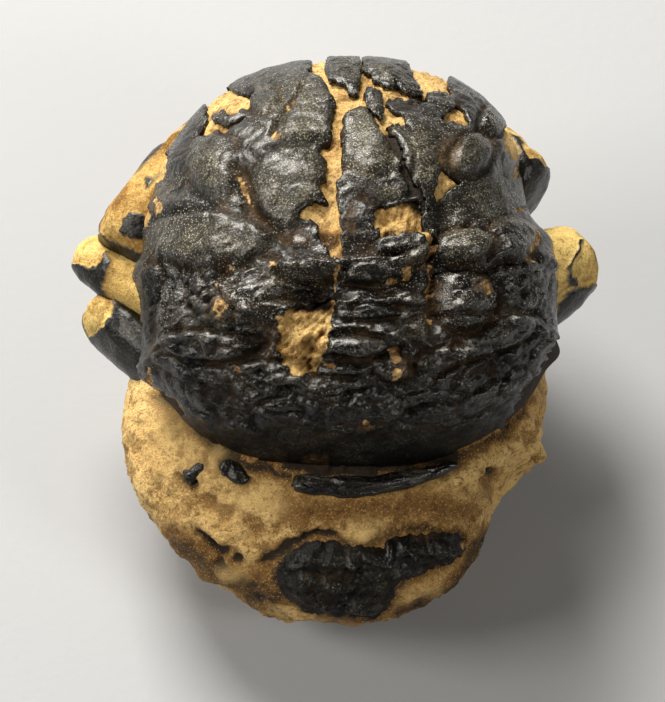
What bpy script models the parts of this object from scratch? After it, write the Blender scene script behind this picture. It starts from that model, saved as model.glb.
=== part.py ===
"""Fossil crab in its stone: the black shell of a crab, with leg stumps, on a tan concretion.

Metres, +Z up, +Y towards the crab's front, +X to its right. The origin lies on the flat worn
patch that the stone rests on, straight below the carapace's crown. Every piece is one closed
body, and neighbours keep a small gap. Places on the carapace are given in its own plan: across,
then ahead of the crown.
"""

import math

import bmesh
import bpy
from mathutils import Matrix, Vector, noise

MM = 0.001
GAP = 0.3 * MM  # between neighbouring pieces

# The carapace, the crab's domed back shell
CARAPACE_HALF_WIDTH = 29.4 * MM
CARAPACE_FRONT_LENGTH = 39.6 * MM  # from the widest line to the front margin
CARAPACE_REAR_LENGTH = 22.4 * MM  # from the widest line to the rear margin
CARAPACE_HEIGHT = 20.5 * MM  # crown above the margin
CARAPACE_TILT = math.radians(14.0)  # the front stands higher than the rear
CARAPACE_FOOT = Vector((0.0, 0.0, 34.8)) * MM  # under the crown, in the margin's plane
FRONT_OUTLINE_POWER = 2.6
REAR_OUTLINE_POWER = 2.25
PLATEAU_POWER = 2.6
REAR_STEEPNESS = 1.9
SIDE_STEEPNESS = 1.3
SHELL = 1.2 * MM
CARAPACE_CELLS = 25  # grid cells along each side of the carapace sheet
CORE_DEPTH = 0.6 * MM  # the stone's core is first made this far under the shell's outside
CORE_SKIRT = 3.5 * MM
CORE_FLOOR_SHARE = 0.93  # the core's floor is this much of the margin's plan
ROOM_OVER = 1.0 * MM  # how far the room for the shell runs over its outside
ROOM_UNDER = 0.45 * MM  # and under its inside and past its margin
RIM_POWER = 12  # a high power keeps the changes at the margin close to it

# Rounded regions of the carapace: across, ahead, half-width, half-length, height, all in mm
REGION_FALLOFF = 1.4
REGIONS = {
    "left_protogastric": (-8.5, 17.0, 6.0, 9.0, 1.0),
    "right_protogastric": (9.5, 17.5, 4.5, 8.0, 0.8),
    "mesogastric": (3.0, 17.0, 2.6, 8.0, 0.6),
    "left_hepatic": (-18.0, 18.0, 5.0, 5.0, 0.9),
    "right_hepatic": (17.5, 17.0, 5.0, 5.0, 1.0),
    "left_epibranchial": (-21.0, 7.0, 8.0, 5.0, 0.9),
    "right_epibranchial": (16.5, 3.5, 3.5, 3.0, 1.3),
    "right_outer_branchial": (24.0, 5.0, 5.0, 5.0, 0.8),
    "left_mesobranchial": (-15.0, -5.0, 6.0, 5.0, 1.0),
    "right_mesobranchial": (16.0, -3.5, 4.0, 6.0, 1.0),
    "metagastric_ridge": (1.5, 0.5, 12.0, 1.8, 1.2),
    "cardiac": (3.0, -11.0, 6.0, 3.5, 1.0),
    "left_margin_knob": (-27.0, 4.5, 2.5, 3.0, 0.8),
    "left_rear_knob": (-25.0, -4.0, 3.0, 3.0, 0.7),
    "left_cervical_groove": (-14.5, 9.5, 2.2, 6.0, -1.3),
    "right_cervical_groove": (13.5, 9.5, 2.2, 5.0, -1.1),
    "urogastric_pit": (-5.0, -3.5, 4.5, 1.8, -1.6),
    "urogastric_groove": (5.0, -2.6, 7.0, 1.3, -0.8),
    "left_branchial_groove": (-21.0, 0.3, 8.0, 1.6, -0.8),
    "right_branchial_groove": (12.0, -4.0, 1.3, 6.0, -1.0),
    "cardiac_groove": (2.5, -7.2, 8.0, 1.3, -0.8),
}

# Teeth of the carapace's margin, and a break in it: bearing and half-width in degrees from the
# right, and height in mm, below zero where the margin is broken back
MARGIN_TEETH = (
    (196, 4, 1.7), (168, 4, 1.3), (153, 4, 1.1), (139, 4, 1.0),
    (-10, 4, 1.4), (13, 4, 1.3), (22, 4, 0.8), (46, 4, 0.8), (35, 12, -2.8),
)  # fmt: skip

# Places where the shell is lost, in plan in mm
FRONT_GAP = (
    (-5.6, 44), (-5.4, 33.5), (-3.4, 30), (-2.3, 27), (-2.6, 24), (-2.7, 20), (-3.2, 15),
    (-2.8, 11), (-4, 9.4), (-6.6, 8.4), (-6.2, 6), (-3.6, 3.6), (-1.8, 0.9), (-0.9, 4),
    (-1.2, 9), (-1, 12), (-0.9, 15), (-0.4, 20), (-0.2, 23), (1, 24.6), (3, 23.6), (4.4, 21.6),
    (6.4, 23.4), (8.4, 22.4), (7, 25.4), (6, 27), (10.5, 28.8), (13, 31.5), (12.4, 44),
)  # fmt: skip
SHELL_GAPS = {
    "front_gap": FRONT_GAP,
    "cardiac_gap": (
        (-9.9, -5.3), (-10.4, -9), (-9.3, -13), (-6.6, -14.4),
        (-4.2, -13.8), (-3.2, -10.5), (-1.8, -6), (-5, -5.6),
    ),
    "gastric_gap": ((3.1, 8.8), (10.2, 9.1), (10.8, 5.0), (7.0, 5.7), (3.3, 4.8)),
    "hepatic_gap": ((12.0, 10.4), (12.2, 15), (15.4, 16.2), (15.8, 14), (14, 12.4), (13, 10)),
    "right_front_gap": ((13.0, 26.6), (15.0, 28.6), (18.2, 26.4), (17.0, 24.8), (14.6, 24.6)),
    "left_front_gap": ((-20.6, 25.6), (-20.6, 29.6), (-19, 34), (-14.4, 33.4), (-15, 28.4), (-17.4, 26.4)),
}  # fmt: skip

# Loose plates of shell that stand in the front gap, in plan in mm
FRONT_PLATES = {
    "front_shell_plate_left": (
        (-3, 44), (-2.8, 32), (-1.6, 30.4), (0.3, 29.2), (1.4, 31.6), (1.2, 44),
    ),
    "front_shell_plate_right": (
        (1.8, 44), (1.9, 33.8), (5, 31.8), (10.4, 30), (12.3, 32), (11.6, 44),
    ),
    "front_shell_chip": ((2, 28.6), (3.4, 29.6), (5, 27.6), (5, 25), (4.2, 24), (2.8, 25.4)),
}  # fmt: skip

# The stone: centre and half-axes of the rounded masses that it is made of, in mm
STONE_CENTRE = Vector((-1.2, 2.0, 22.0)) * MM
STONE_CELLS = 42
STONE_LOBES = (
    ((-1.4, -6.0, 16.0), (30.5, 31.0, 17.8)),
    ((0.0, 8.0, 24.0), (27.5, 28.0, 25.8)),
)
LOBE_BLEND = 14.0
STONE_KNOBS = {  # place, half-width and height in mm, a dent where the height is negative
    "right_rear_break": ((24.0, -20.0, 17.0), 7.5, -5.2),
    "right_rim_spur": ((29.5, -7.0, 21.0), 3.5, 1.2),
    "right_low_spur": ((28.0, -14.0, 18.0), 3.0, 1.4),
    "left_rim_swell": ((-30.5, -6.0, 20.0), 8.0, 1.0),
    "left_rear_boss": ((-24.0, -22.0, 20.0), 9.0, 0.9),
    "tail_ledge": ((0.0, -32.0, 25.0), 9.0, 1.0),
    "left_low_nib": ((-9.0, -32.0, 6.0), 4.0, 1.6),
    "front_left_boss": ((-17.0, 32.0, 38.0), 5.0, 1.5),
    "front_hollow": ((2.0, 36.0, 14.0), 12.0, -1.5),
}
NEAREST_SKIN = 0.1  # of a mm, from the stone's centre to a lobe's skin
STONE_ROUGHNESS = 0.5 * MM
STONE_ROUGHNESS_SIZE = 12.0 * MM

# Stumps and splinters: root, tip, half-width, half-height, tip's share of that, bow, in mm
BARRELS = {
    "left_claw_arm": ((-17.5, 34.0, 31.0), (-32.5, 13.0, 31.0), 6.5, 7.5, 0.95, (0, 0, 0)),
    "left_leg_front": ((-21.0, 6.0, 28.5), (-39.0, 16.5, 27.0), 5.8, 5.2, 0.65, (0, 0, 0)),
    "left_leg_rear": ((-21.0, -5.0, 20.5), (-37.0, 9.5, 23.0), 4.2, 6.0, 0.85, (0, 0, 0)),
    "right_claw_arm": ((15.0, 35.0, 31.0), (27.5, 22.5, 30.5), 5.4, 7.5, 0.95, (0, 0, 0)),
    "right_leg": ((20.0, 9.0, 26.5), (35.2, 16.5, 27.5), 6.6, 6.4, 0.62, (0, 0, 0)),
    "first_tail_segment": ((-8.0, -23.0, 29.2), (15.2, -21.2, 28.4), 1.3, 1.5, 0.8, (0, -2.6, 0.5)),
    "buried_leg_tip": ((-17.4, -20.2, 29.0), (-14.0, -22.6, 28.0), 1.3, 1.6, 0.9, (0, 0, 0)),
    "buried_leg_splinter": ((-23.4, -20.8, 25.2), (-20.2, -19.6, 27.0), 1.0, 1.2, 0.8, (0, 0, 0)),
}
LIMBS = {"left_claw_arm", "left_leg_front", "left_leg_rear", "right_claw_arm", "right_leg"}
ELDER_NEIGHBOURS = {"left_leg_front": "left_claw_arm", "left_leg_rear": "left_leg_front"}
BARREL_POWER = 4.5
BARREL_SEGMENTS = 10
BARREL_RINGS = 8
BARREL_ROUGHNESS = 0.35 * MM
BARREL_ROUGHNESS_SIZE = 2.5 * MM

# The tail's last plates, folded under on the stone's rear face
TAIL_BEARING = math.radians(-86.0)
TAIL_ELEVATION = math.radians(-3.5)
TAIL_HALF_ANGLES = (math.radians(20.5), math.radians(10.5))
TAIL_SWELL = 1.0 * MM
TAIL_RIPPLE = 0.4 * MM
TAIL_RIPPLES = 60.0  # phase per radian of elevation
TAIL_THICKNESS = 1.6 * MM
TAIL_BRIM = math.radians(0.8)  # clearance around the tail's plates
TAIL_CELLS = 8

BLACK_SHELL = (0.028, 0.024, 0.020)
TAN_STONE = (0.58, 0.43, 0.22)
LEG_STONE = (0.52, 0.38, 0.20)


def clear_scene():
    for obj in list(bpy.data.objects):
        bpy.data.objects.remove(obj, do_unlink=True)


def collection(name, hidden=False):
    found = bpy.data.collections.new(name)
    bpy.context.scene.collection.children.link(found)
    found.hide_render = hidden
    return found


def place(name, mesh, group, colour=None, roughness=0.5):
    """An object of the mesh, as a piece where it has a colour and otherwise as a cutter."""
    obj = bpy.data.objects.new(name, mesh)
    group.objects.link(obj)
    if colour is None:
        obj.hide_render = True
        obj.display_type = "WIRE"
        return obj
    material = bpy.data.materials.new(name)
    material.use_nodes = True
    surface = material.node_tree.nodes["Principled BSDF"]
    surface.inputs["Base Color"].default_value = (*colour, 1.0)
    surface.inputs["Roughness"].default_value = roughness
    surface.inputs["Metallic"].default_value = 0.0
    mesh.materials.append(material)
    return obj


def boolean(obj, other, operation):
    """Adds a Boolean of the object with another object, or with all of a collection."""
    step = obj.modifiers.new(f"{operation.lower()} {other.name}", "BOOLEAN")
    step.operation = operation
    step.solver = "EXACT"
    if isinstance(other, bpy.types.Collection):
        step.operand_type = "COLLECTION"
        step.collection = other
    else:
        step.object = other


def disc_of(u, v):
    """Share of the way to the rim and bearing, for a point of a square sheet made round."""
    x = u * math.sqrt(1.0 - v * v / 2.0)
    y = v * math.sqrt(1.0 - u * u / 2.0)
    return min(1.0, math.hypot(x, y)), math.atan2(y, x)


def finish_mesh(name, body):
    """A mesh of the closed body, in triangles that face out."""
    body.normal_update()
    bmesh.ops.triangulate(body, faces=body.faces[:], quad_method="SHORT_EDGE")
    bmesh.ops.recalc_face_normals(body, faces=body.faces)
    mesh = bpy.data.meshes.new(name)
    body.to_mesh(mesh)
    body.free()
    return mesh


def extrude(body, faces):
    """Thickens the faces into a closed body, and gives the vertices of its new side."""
    grown = bmesh.ops.extrude_face_region(body, geom=faces)["geom"]
    return [item for item in grown if isinstance(item, bmesh.types.BMVert)]


def slab_mesh(name, cells, outer, inner):
    """A closed body between two square sheets, with points outer(u, v) and inner(u, v)."""
    slab = bmesh.new()
    bmesh.ops.create_grid(slab, x_segments=cells, y_segments=cells, size=1.0)
    top = set(extrude(slab, slab.faces[:]))
    for vert in slab.verts:
        point = outer if vert in top else inner
        vert.co = point(vert.co.x, vert.co.y)
    return finish_mesh(name, slab)


# The carapace


def carapace_axes():
    """The carapace's own frame: across, ahead and up from its margin's plane."""
    return Matrix.Translation(CARAPACE_FOOT) @ Matrix.Rotation(CARAPACE_TILT, 4, "X")


def margin_radius(angle):
    """Plan distance from the crown to the margin, with its teeth, at a bearing."""
    ahead = math.sin(angle) > 0
    length = CARAPACE_FRONT_LENGTH if ahead else CARAPACE_REAR_LENGTH
    power = FRONT_OUTLINE_POWER if ahead else REAR_OUTLINE_POWER
    share = abs(math.cos(angle) / CARAPACE_HALF_WIDTH) ** power + abs(math.sin(angle) / length) ** power
    radius = share ** (-1.0 / power)
    for bearing, half_width, height in MARGIN_TEETH:
        away = (math.degrees(angle) - bearing + 180.0) % 360.0 - 180.0
        radius += height * MM * math.exp(-((away / half_width) ** 2))
    return radius


def dome_height(share, angle):
    """Height over the margin's plane at a share of the way from the crown to the margin."""
    rearward = max(0.0, -math.sin(angle)) ** 2
    steepness = SIDE_STEEPNESS + (REAR_STEEPNESS - SIDE_STEEPNESS) * rearward
    return CARAPACE_HEIGHT * max(0.0, 1.0 - share**PLATEAU_POWER) ** (1.0 / steepness)


def region_height(across, ahead):
    """Height of the carapace's bosses and grooves at a place in plan."""
    total = 0.0
    for x, y, half_width, half_length, height in REGIONS.values():
        away = ((across / MM - x) / half_width) ** 2 + ((ahead / MM - y) / half_length) ** 2
        total += height * math.exp(-REGION_FALLOFF * away)
    return total * MM


def carapace_plan(u, v, brim=0.0):
    """Across, ahead and height, in the carapace's frame, for (u, v) of its sheet."""
    reach, angle = disc_of(u, v)
    share = reach * (1.25 - 0.25 * reach * reach)
    radius = share * margin_radius(angle) + brim * share**RIM_POWER
    height = dome_height(share, angle) - brim * share**RIM_POWER
    return Vector((radius * math.cos(angle), radius * math.sin(angle), height)), share


def carapace_point(u, v, lift, brim=0.0):
    """A point of the carapace's outside, lifted clear of it, with a brim around the margin."""
    place_in_plan, share = carapace_plan(u, v, brim)
    relief = region_height(place_in_plan.x, place_in_plan.y) * (1.0 - share**RIM_POWER)
    away = Vector((place_in_plan.x, place_in_plan.y, CARAPACE_HEIGHT)).normalized()
    return carapace_axes() @ (place_in_plan + away * (relief + lift))


def carapace_slab(name, over, under, brim=0.0):
    """A layer that follows the carapace, from over its outside to under it."""
    return slab_mesh(
        name,
        CARAPACE_CELLS,
        lambda u, v: carapace_point(u, v, over, brim),
        lambda u, v: carapace_point(u, v, -under, brim),
    )


def plan_prism(name, outline, group, near=-4.0 * MM, far=30.0 * MM):
    """A cutter whose outline is given in the carapace's plan and which runs along its height."""
    prism = bmesh.new()
    base = prism.faces.new([prism.verts.new((x * MM, y * MM, near)) for x, y in outline])
    bmesh.ops.translate(prism, verts=extrude(prism, [base]), vec=(0, 0, far - near))
    prism.transform(carapace_axes())
    return place(name, finish_mesh(name, prism), group)


def build_carapace(crab, cutters):
    shell = place("carapace", carapace_slab("carapace", 0.0, SHELL), crab, BLACK_SHELL, 0.35)
    gaps = collection("shell gaps", hidden=True)
    for name, outline in SHELL_GAPS.items():
        plan_prism(name, outline, gaps)
    boolean(shell, gaps, "DIFFERENCE")
    for name, outline in FRONT_PLATES.items():
        plate = place(name, carapace_slab(name, 0.0, SHELL), crab, BLACK_SHELL, 0.35)
        boolean(plate, plan_prism(f"{name} outline", outline, cutters), "INTERSECT")


# The stone


def stone_radius(direction):
    """Distance from the stone's centre to its skin: a smooth union of its lobes, with knobs."""
    total = 0.0
    for centre, axes in STONE_LOBES:
        offset = (STONE_CENTRE - Vector(centre) * MM) / MM
        d = Vector(direction[i] / axes[i] for i in range(3))
        o = Vector(offset[i] / axes[i] for i in range(3))
        a, b, c = d.dot(d), d.dot(o), o.dot(o) - 1.0
        reach = (-b + math.sqrt(max(0.0, b * b - a * c))) / a
        total += max(reach, NEAREST_SKIN) ** LOBE_BLEND
    radius = total ** (1.0 / LOBE_BLEND) * MM
    skin = STONE_CENTRE + direction * radius
    for spot, half_width, height in STONE_KNOBS.values():
        away = (skin - Vector(spot) * MM).length / (half_width * MM)
        radius += height * MM * math.exp(-away * away)
    return radius + STONE_ROUGHNESS * noise.noise(skin / STONE_ROUGHNESS_SIZE)


def stone_body(name):
    """The stone's lobed ball, cut flat where it rests."""
    ball = bmesh.new()
    rings = STONE_CELLS // 2
    bmesh.ops.create_uvsphere(ball, u_segments=STONE_CELLS, v_segments=rings, radius=1.0)
    for vert in ball.verts:
        direction = vert.co.normalized()
        vert.co = STONE_CENTRE + direction * stone_radius(direction)
    everything = ball.verts[:] + ball.edges[:] + ball.faces[:]
    bmesh.ops.bisect_plane(
        ball, geom=everything, plane_co=(0, 0, 0), plane_no=(0, 0, 1), clear_inner=True
    )
    rim = [edge for edge in ball.edges if edge.is_boundary]
    bmesh.ops.contextual_create(ball, geom=rim)
    return finish_mesh(name, ball)


def core_floor(u, v):
    """Underside of the stone's core, under the carapace's margin."""
    place_in_plan = carapace_plan(u, v)[0] * CORE_FLOOR_SHARE
    return carapace_axes() @ Vector((place_in_plan.x, place_in_plan.y, -CORE_SKIRT))


def build_stone(crab, cutters, pockets):
    """The stone around and inside the carapace, with room for the shell and the other pieces."""
    stone = place("matrix", stone_body("matrix"), crab, TAN_STONE, 0.85)
    mesh = slab_mesh(
        "core", CARAPACE_CELLS, lambda u, v: carapace_point(u, v, -CORE_DEPTH), core_floor
    )
    boolean(stone, place("core", mesh, cutters), "UNION")
    room = carapace_slab("shell room", ROOM_OVER, SHELL + ROOM_UNDER, ROOM_UNDER)
    place("shell room", room, pockets)
    boolean(stone, pockets, "DIFFERENCE")


# The leg stumps, the tail and the buried splinters


def barrel_mesh(name, root, tip, half_width, half_height, tip_share, bow, grow):
    """A rounded bar from root to tip, tapered and bowed, made bigger all round by grow."""
    root, tip, bow = Vector(root) * MM, Vector(tip) * MM, Vector(bow) * MM
    along = (tip - root).normalized()
    side = Vector((0, 0, 1)).cross(along).normalized()
    up = along.cross(side)
    half_length = (tip - root).length / 2.0 + grow
    bar = bmesh.new()
    bmesh.ops.create_uvsphere(bar, u_segments=BARREL_SEGMENTS, v_segments=BARREL_RINGS, radius=1.0)
    for vert in bar.verts:
        around = math.atan2(vert.co.y, vert.co.x)
        reach = math.copysign(abs(vert.co.z) ** (2.0 / BARREL_POWER), vert.co.z)
        girth = math.hypot(vert.co.x, vert.co.y) ** (2.0 / BARREL_POWER)
        girth *= 1.0 + (tip_share - 1.0) * (reach + 1.0) / 2.0
        wide = girth * (half_width * MM + grow) * math.cos(around)
        high = girth * (half_height * MM + grow) * math.sin(around)
        middle = (root + tip) / 2.0 + along * half_length * reach + bow * (1.0 - reach * reach)
        spot = middle / BARREL_ROUGHNESS_SIZE + Vector((around, 0, 0))
        swell = 1.0 + BARREL_ROUGHNESS * noise.noise(spot) / (half_width * MM)
        vert.co = middle + (side * wide + up * high) * swell
    return finish_mesh(name, bar)


def build_barrels(crab, pockets):
    """The stumps and splinters with their pockets, each clear of its elder neighbour."""
    for name, spec in BARRELS.items():
        colour = LEG_STONE if name in LIMBS else BLACK_SHELL
        bar = place(name, barrel_mesh(name, *spec, 0.0), crab, colour, 0.6)
        if name in ELDER_NEIGHBOURS:
            boolean(bar, bpy.data.objects[f"{ELDER_NEIGHBOURS[name]} room"], "DIFFERENCE")
        place(f"{name} room", barrel_mesh(name, *spec, GAP), pockets)


def tail_point(u, v, lift, brim=0.0):
    """A point on the rear face of the stone, lifted, inside the outline of the tail's plates."""
    reach, angle = disc_of(u, v)
    wide, high = TAIL_HALF_ANGLES
    bearing = TAIL_BEARING + (wide + brim) * reach * math.cos(angle)
    elevation = TAIL_ELEVATION + (high + brim) * reach * math.sin(angle)
    level = math.cos(elevation)
    direction = Vector((level * math.cos(bearing), level * math.sin(bearing), math.sin(elevation)))
    swell = TAIL_SWELL * (1.0 - reach**4) + TAIL_RIPPLE * math.sin(elevation * TAIL_RIPPLES)
    return STONE_CENTRE + direction * (stone_radius(direction) + swell + lift)


def tail_slab(name, over, under, brim=0.0):
    """A layer that follows the tail's plates, from over their outside to under it."""
    return slab_mesh(
        name,
        TAIL_CELLS,
        lambda u, v: tail_point(u, v, over, brim),
        lambda u, v: tail_point(u, v, -under, brim),
    )


def build_tail(crab, pockets):
    """The tail's last plates and their pocket."""
    place("tail_plates", tail_slab("tail_plates", 0.0, TAIL_THICKNESS), crab, BLACK_SHELL, 0.4)
    room = tail_slab("tail room", ROOM_OVER, TAIL_THICKNESS + ROOM_UNDER, TAIL_BRIM)
    place("tail room", room, pockets)


def main():
    clear_scene()
    crab = collection("fossil crab")
    cutters = collection("cutters", hidden=True)
    pockets = collection("pockets", hidden=True)
    build_carapace(crab, cutters)
    build_barrels(crab, pockets)
    build_tail(crab, pockets)
    build_stone(crab, cutters, pockets)


main()
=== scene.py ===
"""Looks of the fossil crab: pitted black shell, tan stone and leg stumps, in a plain studio.

Metres, +Z up, +Y towards the crab's front. The big forms repeat the solids' driving dimensions.
Breaks, ridges, cracks, stains, painted shade and painted light are placed in the photograph's pixels,
and land on the form where the photograph's camera sees it.
"""

import math

import bmesh
import bpy
import numpy as np
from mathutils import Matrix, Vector, noise


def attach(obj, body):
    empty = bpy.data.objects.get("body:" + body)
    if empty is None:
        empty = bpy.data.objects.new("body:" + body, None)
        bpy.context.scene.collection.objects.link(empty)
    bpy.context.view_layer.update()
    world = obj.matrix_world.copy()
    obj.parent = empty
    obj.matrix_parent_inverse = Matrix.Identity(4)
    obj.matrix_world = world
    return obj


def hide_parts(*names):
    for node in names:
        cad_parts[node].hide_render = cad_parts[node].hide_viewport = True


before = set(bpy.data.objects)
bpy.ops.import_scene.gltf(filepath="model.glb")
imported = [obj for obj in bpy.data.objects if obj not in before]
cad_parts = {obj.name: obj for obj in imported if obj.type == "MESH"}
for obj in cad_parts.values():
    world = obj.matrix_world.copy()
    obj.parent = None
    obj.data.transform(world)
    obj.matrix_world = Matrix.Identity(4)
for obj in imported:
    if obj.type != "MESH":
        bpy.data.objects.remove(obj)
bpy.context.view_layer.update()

MM = 0.001

# The camera, and the photograph's frame in pixels
FRAME_SIZE = (665, 702)
CAMERA_ELEVATION = math.radians(57.0)
CAMERA_DISTANCE = 0.45
CAMERA_TARGET = np.array((-2.2, 0.0, 26.0)) * MM
PIXELS_PER_METRE = 7000.0  # at the target

# The carapace, as in the solids
CARAPACE_HALF_WIDTH = 29.4 * MM
CARAPACE_FRONT_LENGTH = 39.6 * MM
CARAPACE_REAR_LENGTH = 22.4 * MM
CARAPACE_HEIGHT = 20.5 * MM
CARAPACE_TILT = math.radians(14.0)
CARAPACE_FOOT = np.array((0.0, 0.0, 34.8)) * MM
FRONT_OUTLINE_POWER = 2.6
REAR_OUTLINE_POWER = 2.25
PLATEAU_POWER = 2.6
REAR_STEEPNESS = 1.9
SIDE_STEEPNESS = 1.3
RIM_POWER = 12
SKIRT_DEPTH = 9.0 * MM  # how far the stone inside the carapace reaches below its margin
SKIRT_TAPER = 0.2
SKIRT_RINGS = 10
MARGIN_TEETH = (
    (196, 4, 1.7), (168, 4, 1.3), (153, 4, 1.1), (139, 4, 1.0),
    (-10, 4, 1.4), (13, 4, 1.3), (22, 4, 0.8), (46, 4, 0.8), (35, 12, -2.8),
)  # fmt: skip
REGION_FALLOFF = 1.4
REGIONS = (  # across, ahead, half-width, half-length, height, in mm
    (-8.5, 17.0, 6.0, 9.0, 1.0), (9.5, 17.5, 4.5, 8.0, 0.8), (3.0, 17.0, 2.6, 8.0, 0.6),
    (-18.0, 18.0, 5.0, 5.0, 0.9), (17.5, 17.0, 5.0, 5.0, 1.0), (-21.0, 7.0, 8.0, 5.0, 0.9),
    (16.5, 3.5, 3.5, 3.0, 1.3), (24.0, 5.0, 5.0, 5.0, 0.8), (-15.0, -5.0, 6.0, 5.0, 1.0),
    (16.0, -3.5, 4.0, 6.0, 1.0), (1.5, 0.5, 12.0, 1.8, 1.2), (3.0, -11.0, 6.0, 3.5, 1.0),
    (-27.0, 4.5, 2.5, 3.0, 0.8), (-25.0, -4.0, 3.0, 3.0, 0.7), (-14.5, 9.5, 2.2, 6.0, -1.3),
    (13.5, 9.5, 2.2, 5.0, -1.1), (-5.0, -3.5, 4.5, 1.8, -1.6), (5.0, -2.6, 7.0, 1.3, -0.8),
    (-21.0, 0.3, 8.0, 1.6, -0.8), (12.0, -4.0, 1.3, 6.0, -1.0), (2.5, -7.2, 8.0, 1.3, -0.8),
)  # fmt: skip
SHELL = 0.7 * MM  # the shell's thickness at a break
STONE_DEPTH = 0.8 * MM  # from the shell's outside down to the stone under it
CARAPACE_CELLS = 218
CORE_CELLS = 170

# The stone, as in the solids
STONE_CENTRE = np.array((-1.2, 2.0, 22.0)) * MM
STONE_LOBES = (
    ((-1.4, -6.0, 16.0), (30.5, 31.0, 17.8)),
    ((0.0, 8.0, 24.0), (27.5, 28.0, 25.8)),
)
LOBE_BLEND = 14.0
NEAREST_SKIN = 0.1
STONE_KNOBS = (
    ((24.0, -20.0, 17.0), 7.5, -5.2), ((29.5, -3.0, 21.0), 3.0, 0.9), ((28.4, -11.4, 15.5), 1.8, 1.4),
    ((-30.5, -6.0, 20.0), 8.0, 1.0), ((-24.0, -22.0, 20.0), 9.0, 0.9), ((0.0, -32.0, 25.0), 9.0, 1.0),
    ((-9.0, -32.0, 6.0), 4.0, 1.6), ((-17.0, 32.0, 38.0), 5.0, 1.5), ((2.0, 36.0, 14.0), 12.0, -1.5),
    ((26.5, -17.5, 12.0), 6.0, -1.7), ((21.5, -25.0, 10.0), 8.0, -1.7), ((29.4, -7.6, 16.5), 3.2, -2.6),
)  # fmt: skip
STONE_ROUGHNESS = 0.5 * MM
STONE_ROUGHNESS_SIZE = 12.0 * MM
STONE_CELLS = 96  # quads along an edge of the cube that the ball of stone comes from
STONE_BIAS = 0.4  # crowds the ball's quads towards the side that shows best
STONE_BEST_SIDE = np.array((-0.1, -0.8, 0.6))

# Breaks in the shell, by outline in pixels
SHELL_BREAKS = {
    "front_gap": (
        (308, 40), (308, 66), (312, 73), (322, 77), (327, 85), (330, 95), (336, 101), (333, 112),
        (330, 135), (322, 141), (321, 150), (327, 168), (321, 185), (327, 202), (308, 205),
        (297, 214), (302, 220), (316, 222), (320, 232), (325, 246), (337, 264), (344, 250),
        (341, 238), (339, 205), (336, 193), (338, 182), (343, 170), (341, 160), (343, 128),
        (341, 118), (350, 110), (362, 107), (375, 117), (383, 133), (387, 140), (388, 127),
        (400, 119), (409, 131), (409, 120), (401, 113), (393, 109), (386, 97), (397, 92),
        (427, 96), (440, 40),
    ),
    "gastric_break": (
        (374, 206), (382, 203), (396, 206), (400, 202), (410, 197), (420, 205), (426, 224), (431, 235),
        (438, 241), (435, 257), (430, 256), (428, 245), (420, 232), (405, 230), (395, 235), (384, 237),
        (376, 230),
    ),
    "plate_crack": (
        (386, 126), (392, 134), (401, 149), (405, 160), (414, 181), (424, 191), (430, 207), (427, 212),
        (420, 199), (409, 188), (400, 165), (394, 151), (385, 137),
    ),
    "hepatic_break": (
        (438, 200), (436, 188), (440, 172), (444, 166), (456, 173), (464, 179), (456, 187),
        (448, 190), (444, 200),
    ),
    "right_front_break": (
        (436, 106), (445, 110), (453, 105), (459, 98), (466, 106), (472, 122), (466, 124), (448, 116),
    ),
    "right_rim_break": ((421, 76), (430, 66), (445, 68), (456, 90), (448, 87), (440, 83), (428, 84)),
    "left_front_break": (
        (205, 104), (212, 86), (250, 88), (249, 103), (238, 106), (231, 112), (219, 110),
        (209, 118), (224, 122), (238, 115), (244, 110), (241, 121), (222, 128), (206, 135),
        (198, 132), (206, 116),
    ),
    "cardiac_break": (
        (271, 318), (284, 310), (303, 302), (334, 299), (332, 316), (329, 338), (325, 354),
        (314, 376), (292, 375), (280, 362), (273, 348), (274, 334),
    ),
}  # fmt: skip

# The shell's margin where the photograph shows it, open wide past the top of the outline
SHELL_MARGIN = (
    (136, 374), (136, 352), (140, 330), (141, 312), (134, 293), (131, 278), (134, 262), (138, 240),
    (148, 216), (147, 196), (154, 185), (165, 172), (168, 150), (175, 130), (180, 118), (140, 60),
    (60, -400), (620, -400), (560, 60), (512, 112), (506, 128), (506, 150), (519, 164), (525, 184),
    (528, 205), (537, 218), (546, 226), (556, 242), (558, 262), (558, 282), (560, 306), (562, 326),
    (561, 338), (554, 347), (547, 362), (532, 380), (522, 396), (516, 411), (505, 425), (490, 433),
    (475, 441), (460, 450), (445, 458), (420, 468), (360, 474), (300, 473), (252, 468), (238, 460),
    (221, 447), (206, 441), (195, 435), (186, 425), (180, 412), (174, 400), (164, 393), (152, 391),
)  # fmt: skip

# Loose pieces of shell that stand in the front gap, by outline in pixels
LOOSE_SHELL = {
    "front_shell_plate_left": (
        (326, 45), (358, 45), (361, 62), (361, 78), (357, 91), (350, 92), (342, 86), (335, 84),
        (328, 79), (325, 68),
    ),
    "front_shell_plate_right": (
        (364, 45), (400, 50), (412, 66), (420, 80), (426, 90), (416, 89), (406, 87), (398, 83),
        (386, 85), (378, 79), (368, 73), (363, 68),
    ),
    "front_shell_chip": (
        (363, 94), (367, 88), (375, 87), (382, 92), (383, 101), (381, 105), (384, 112), (380, 118),
        (374, 114), (368, 109), (366, 103),
    ),
}

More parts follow.
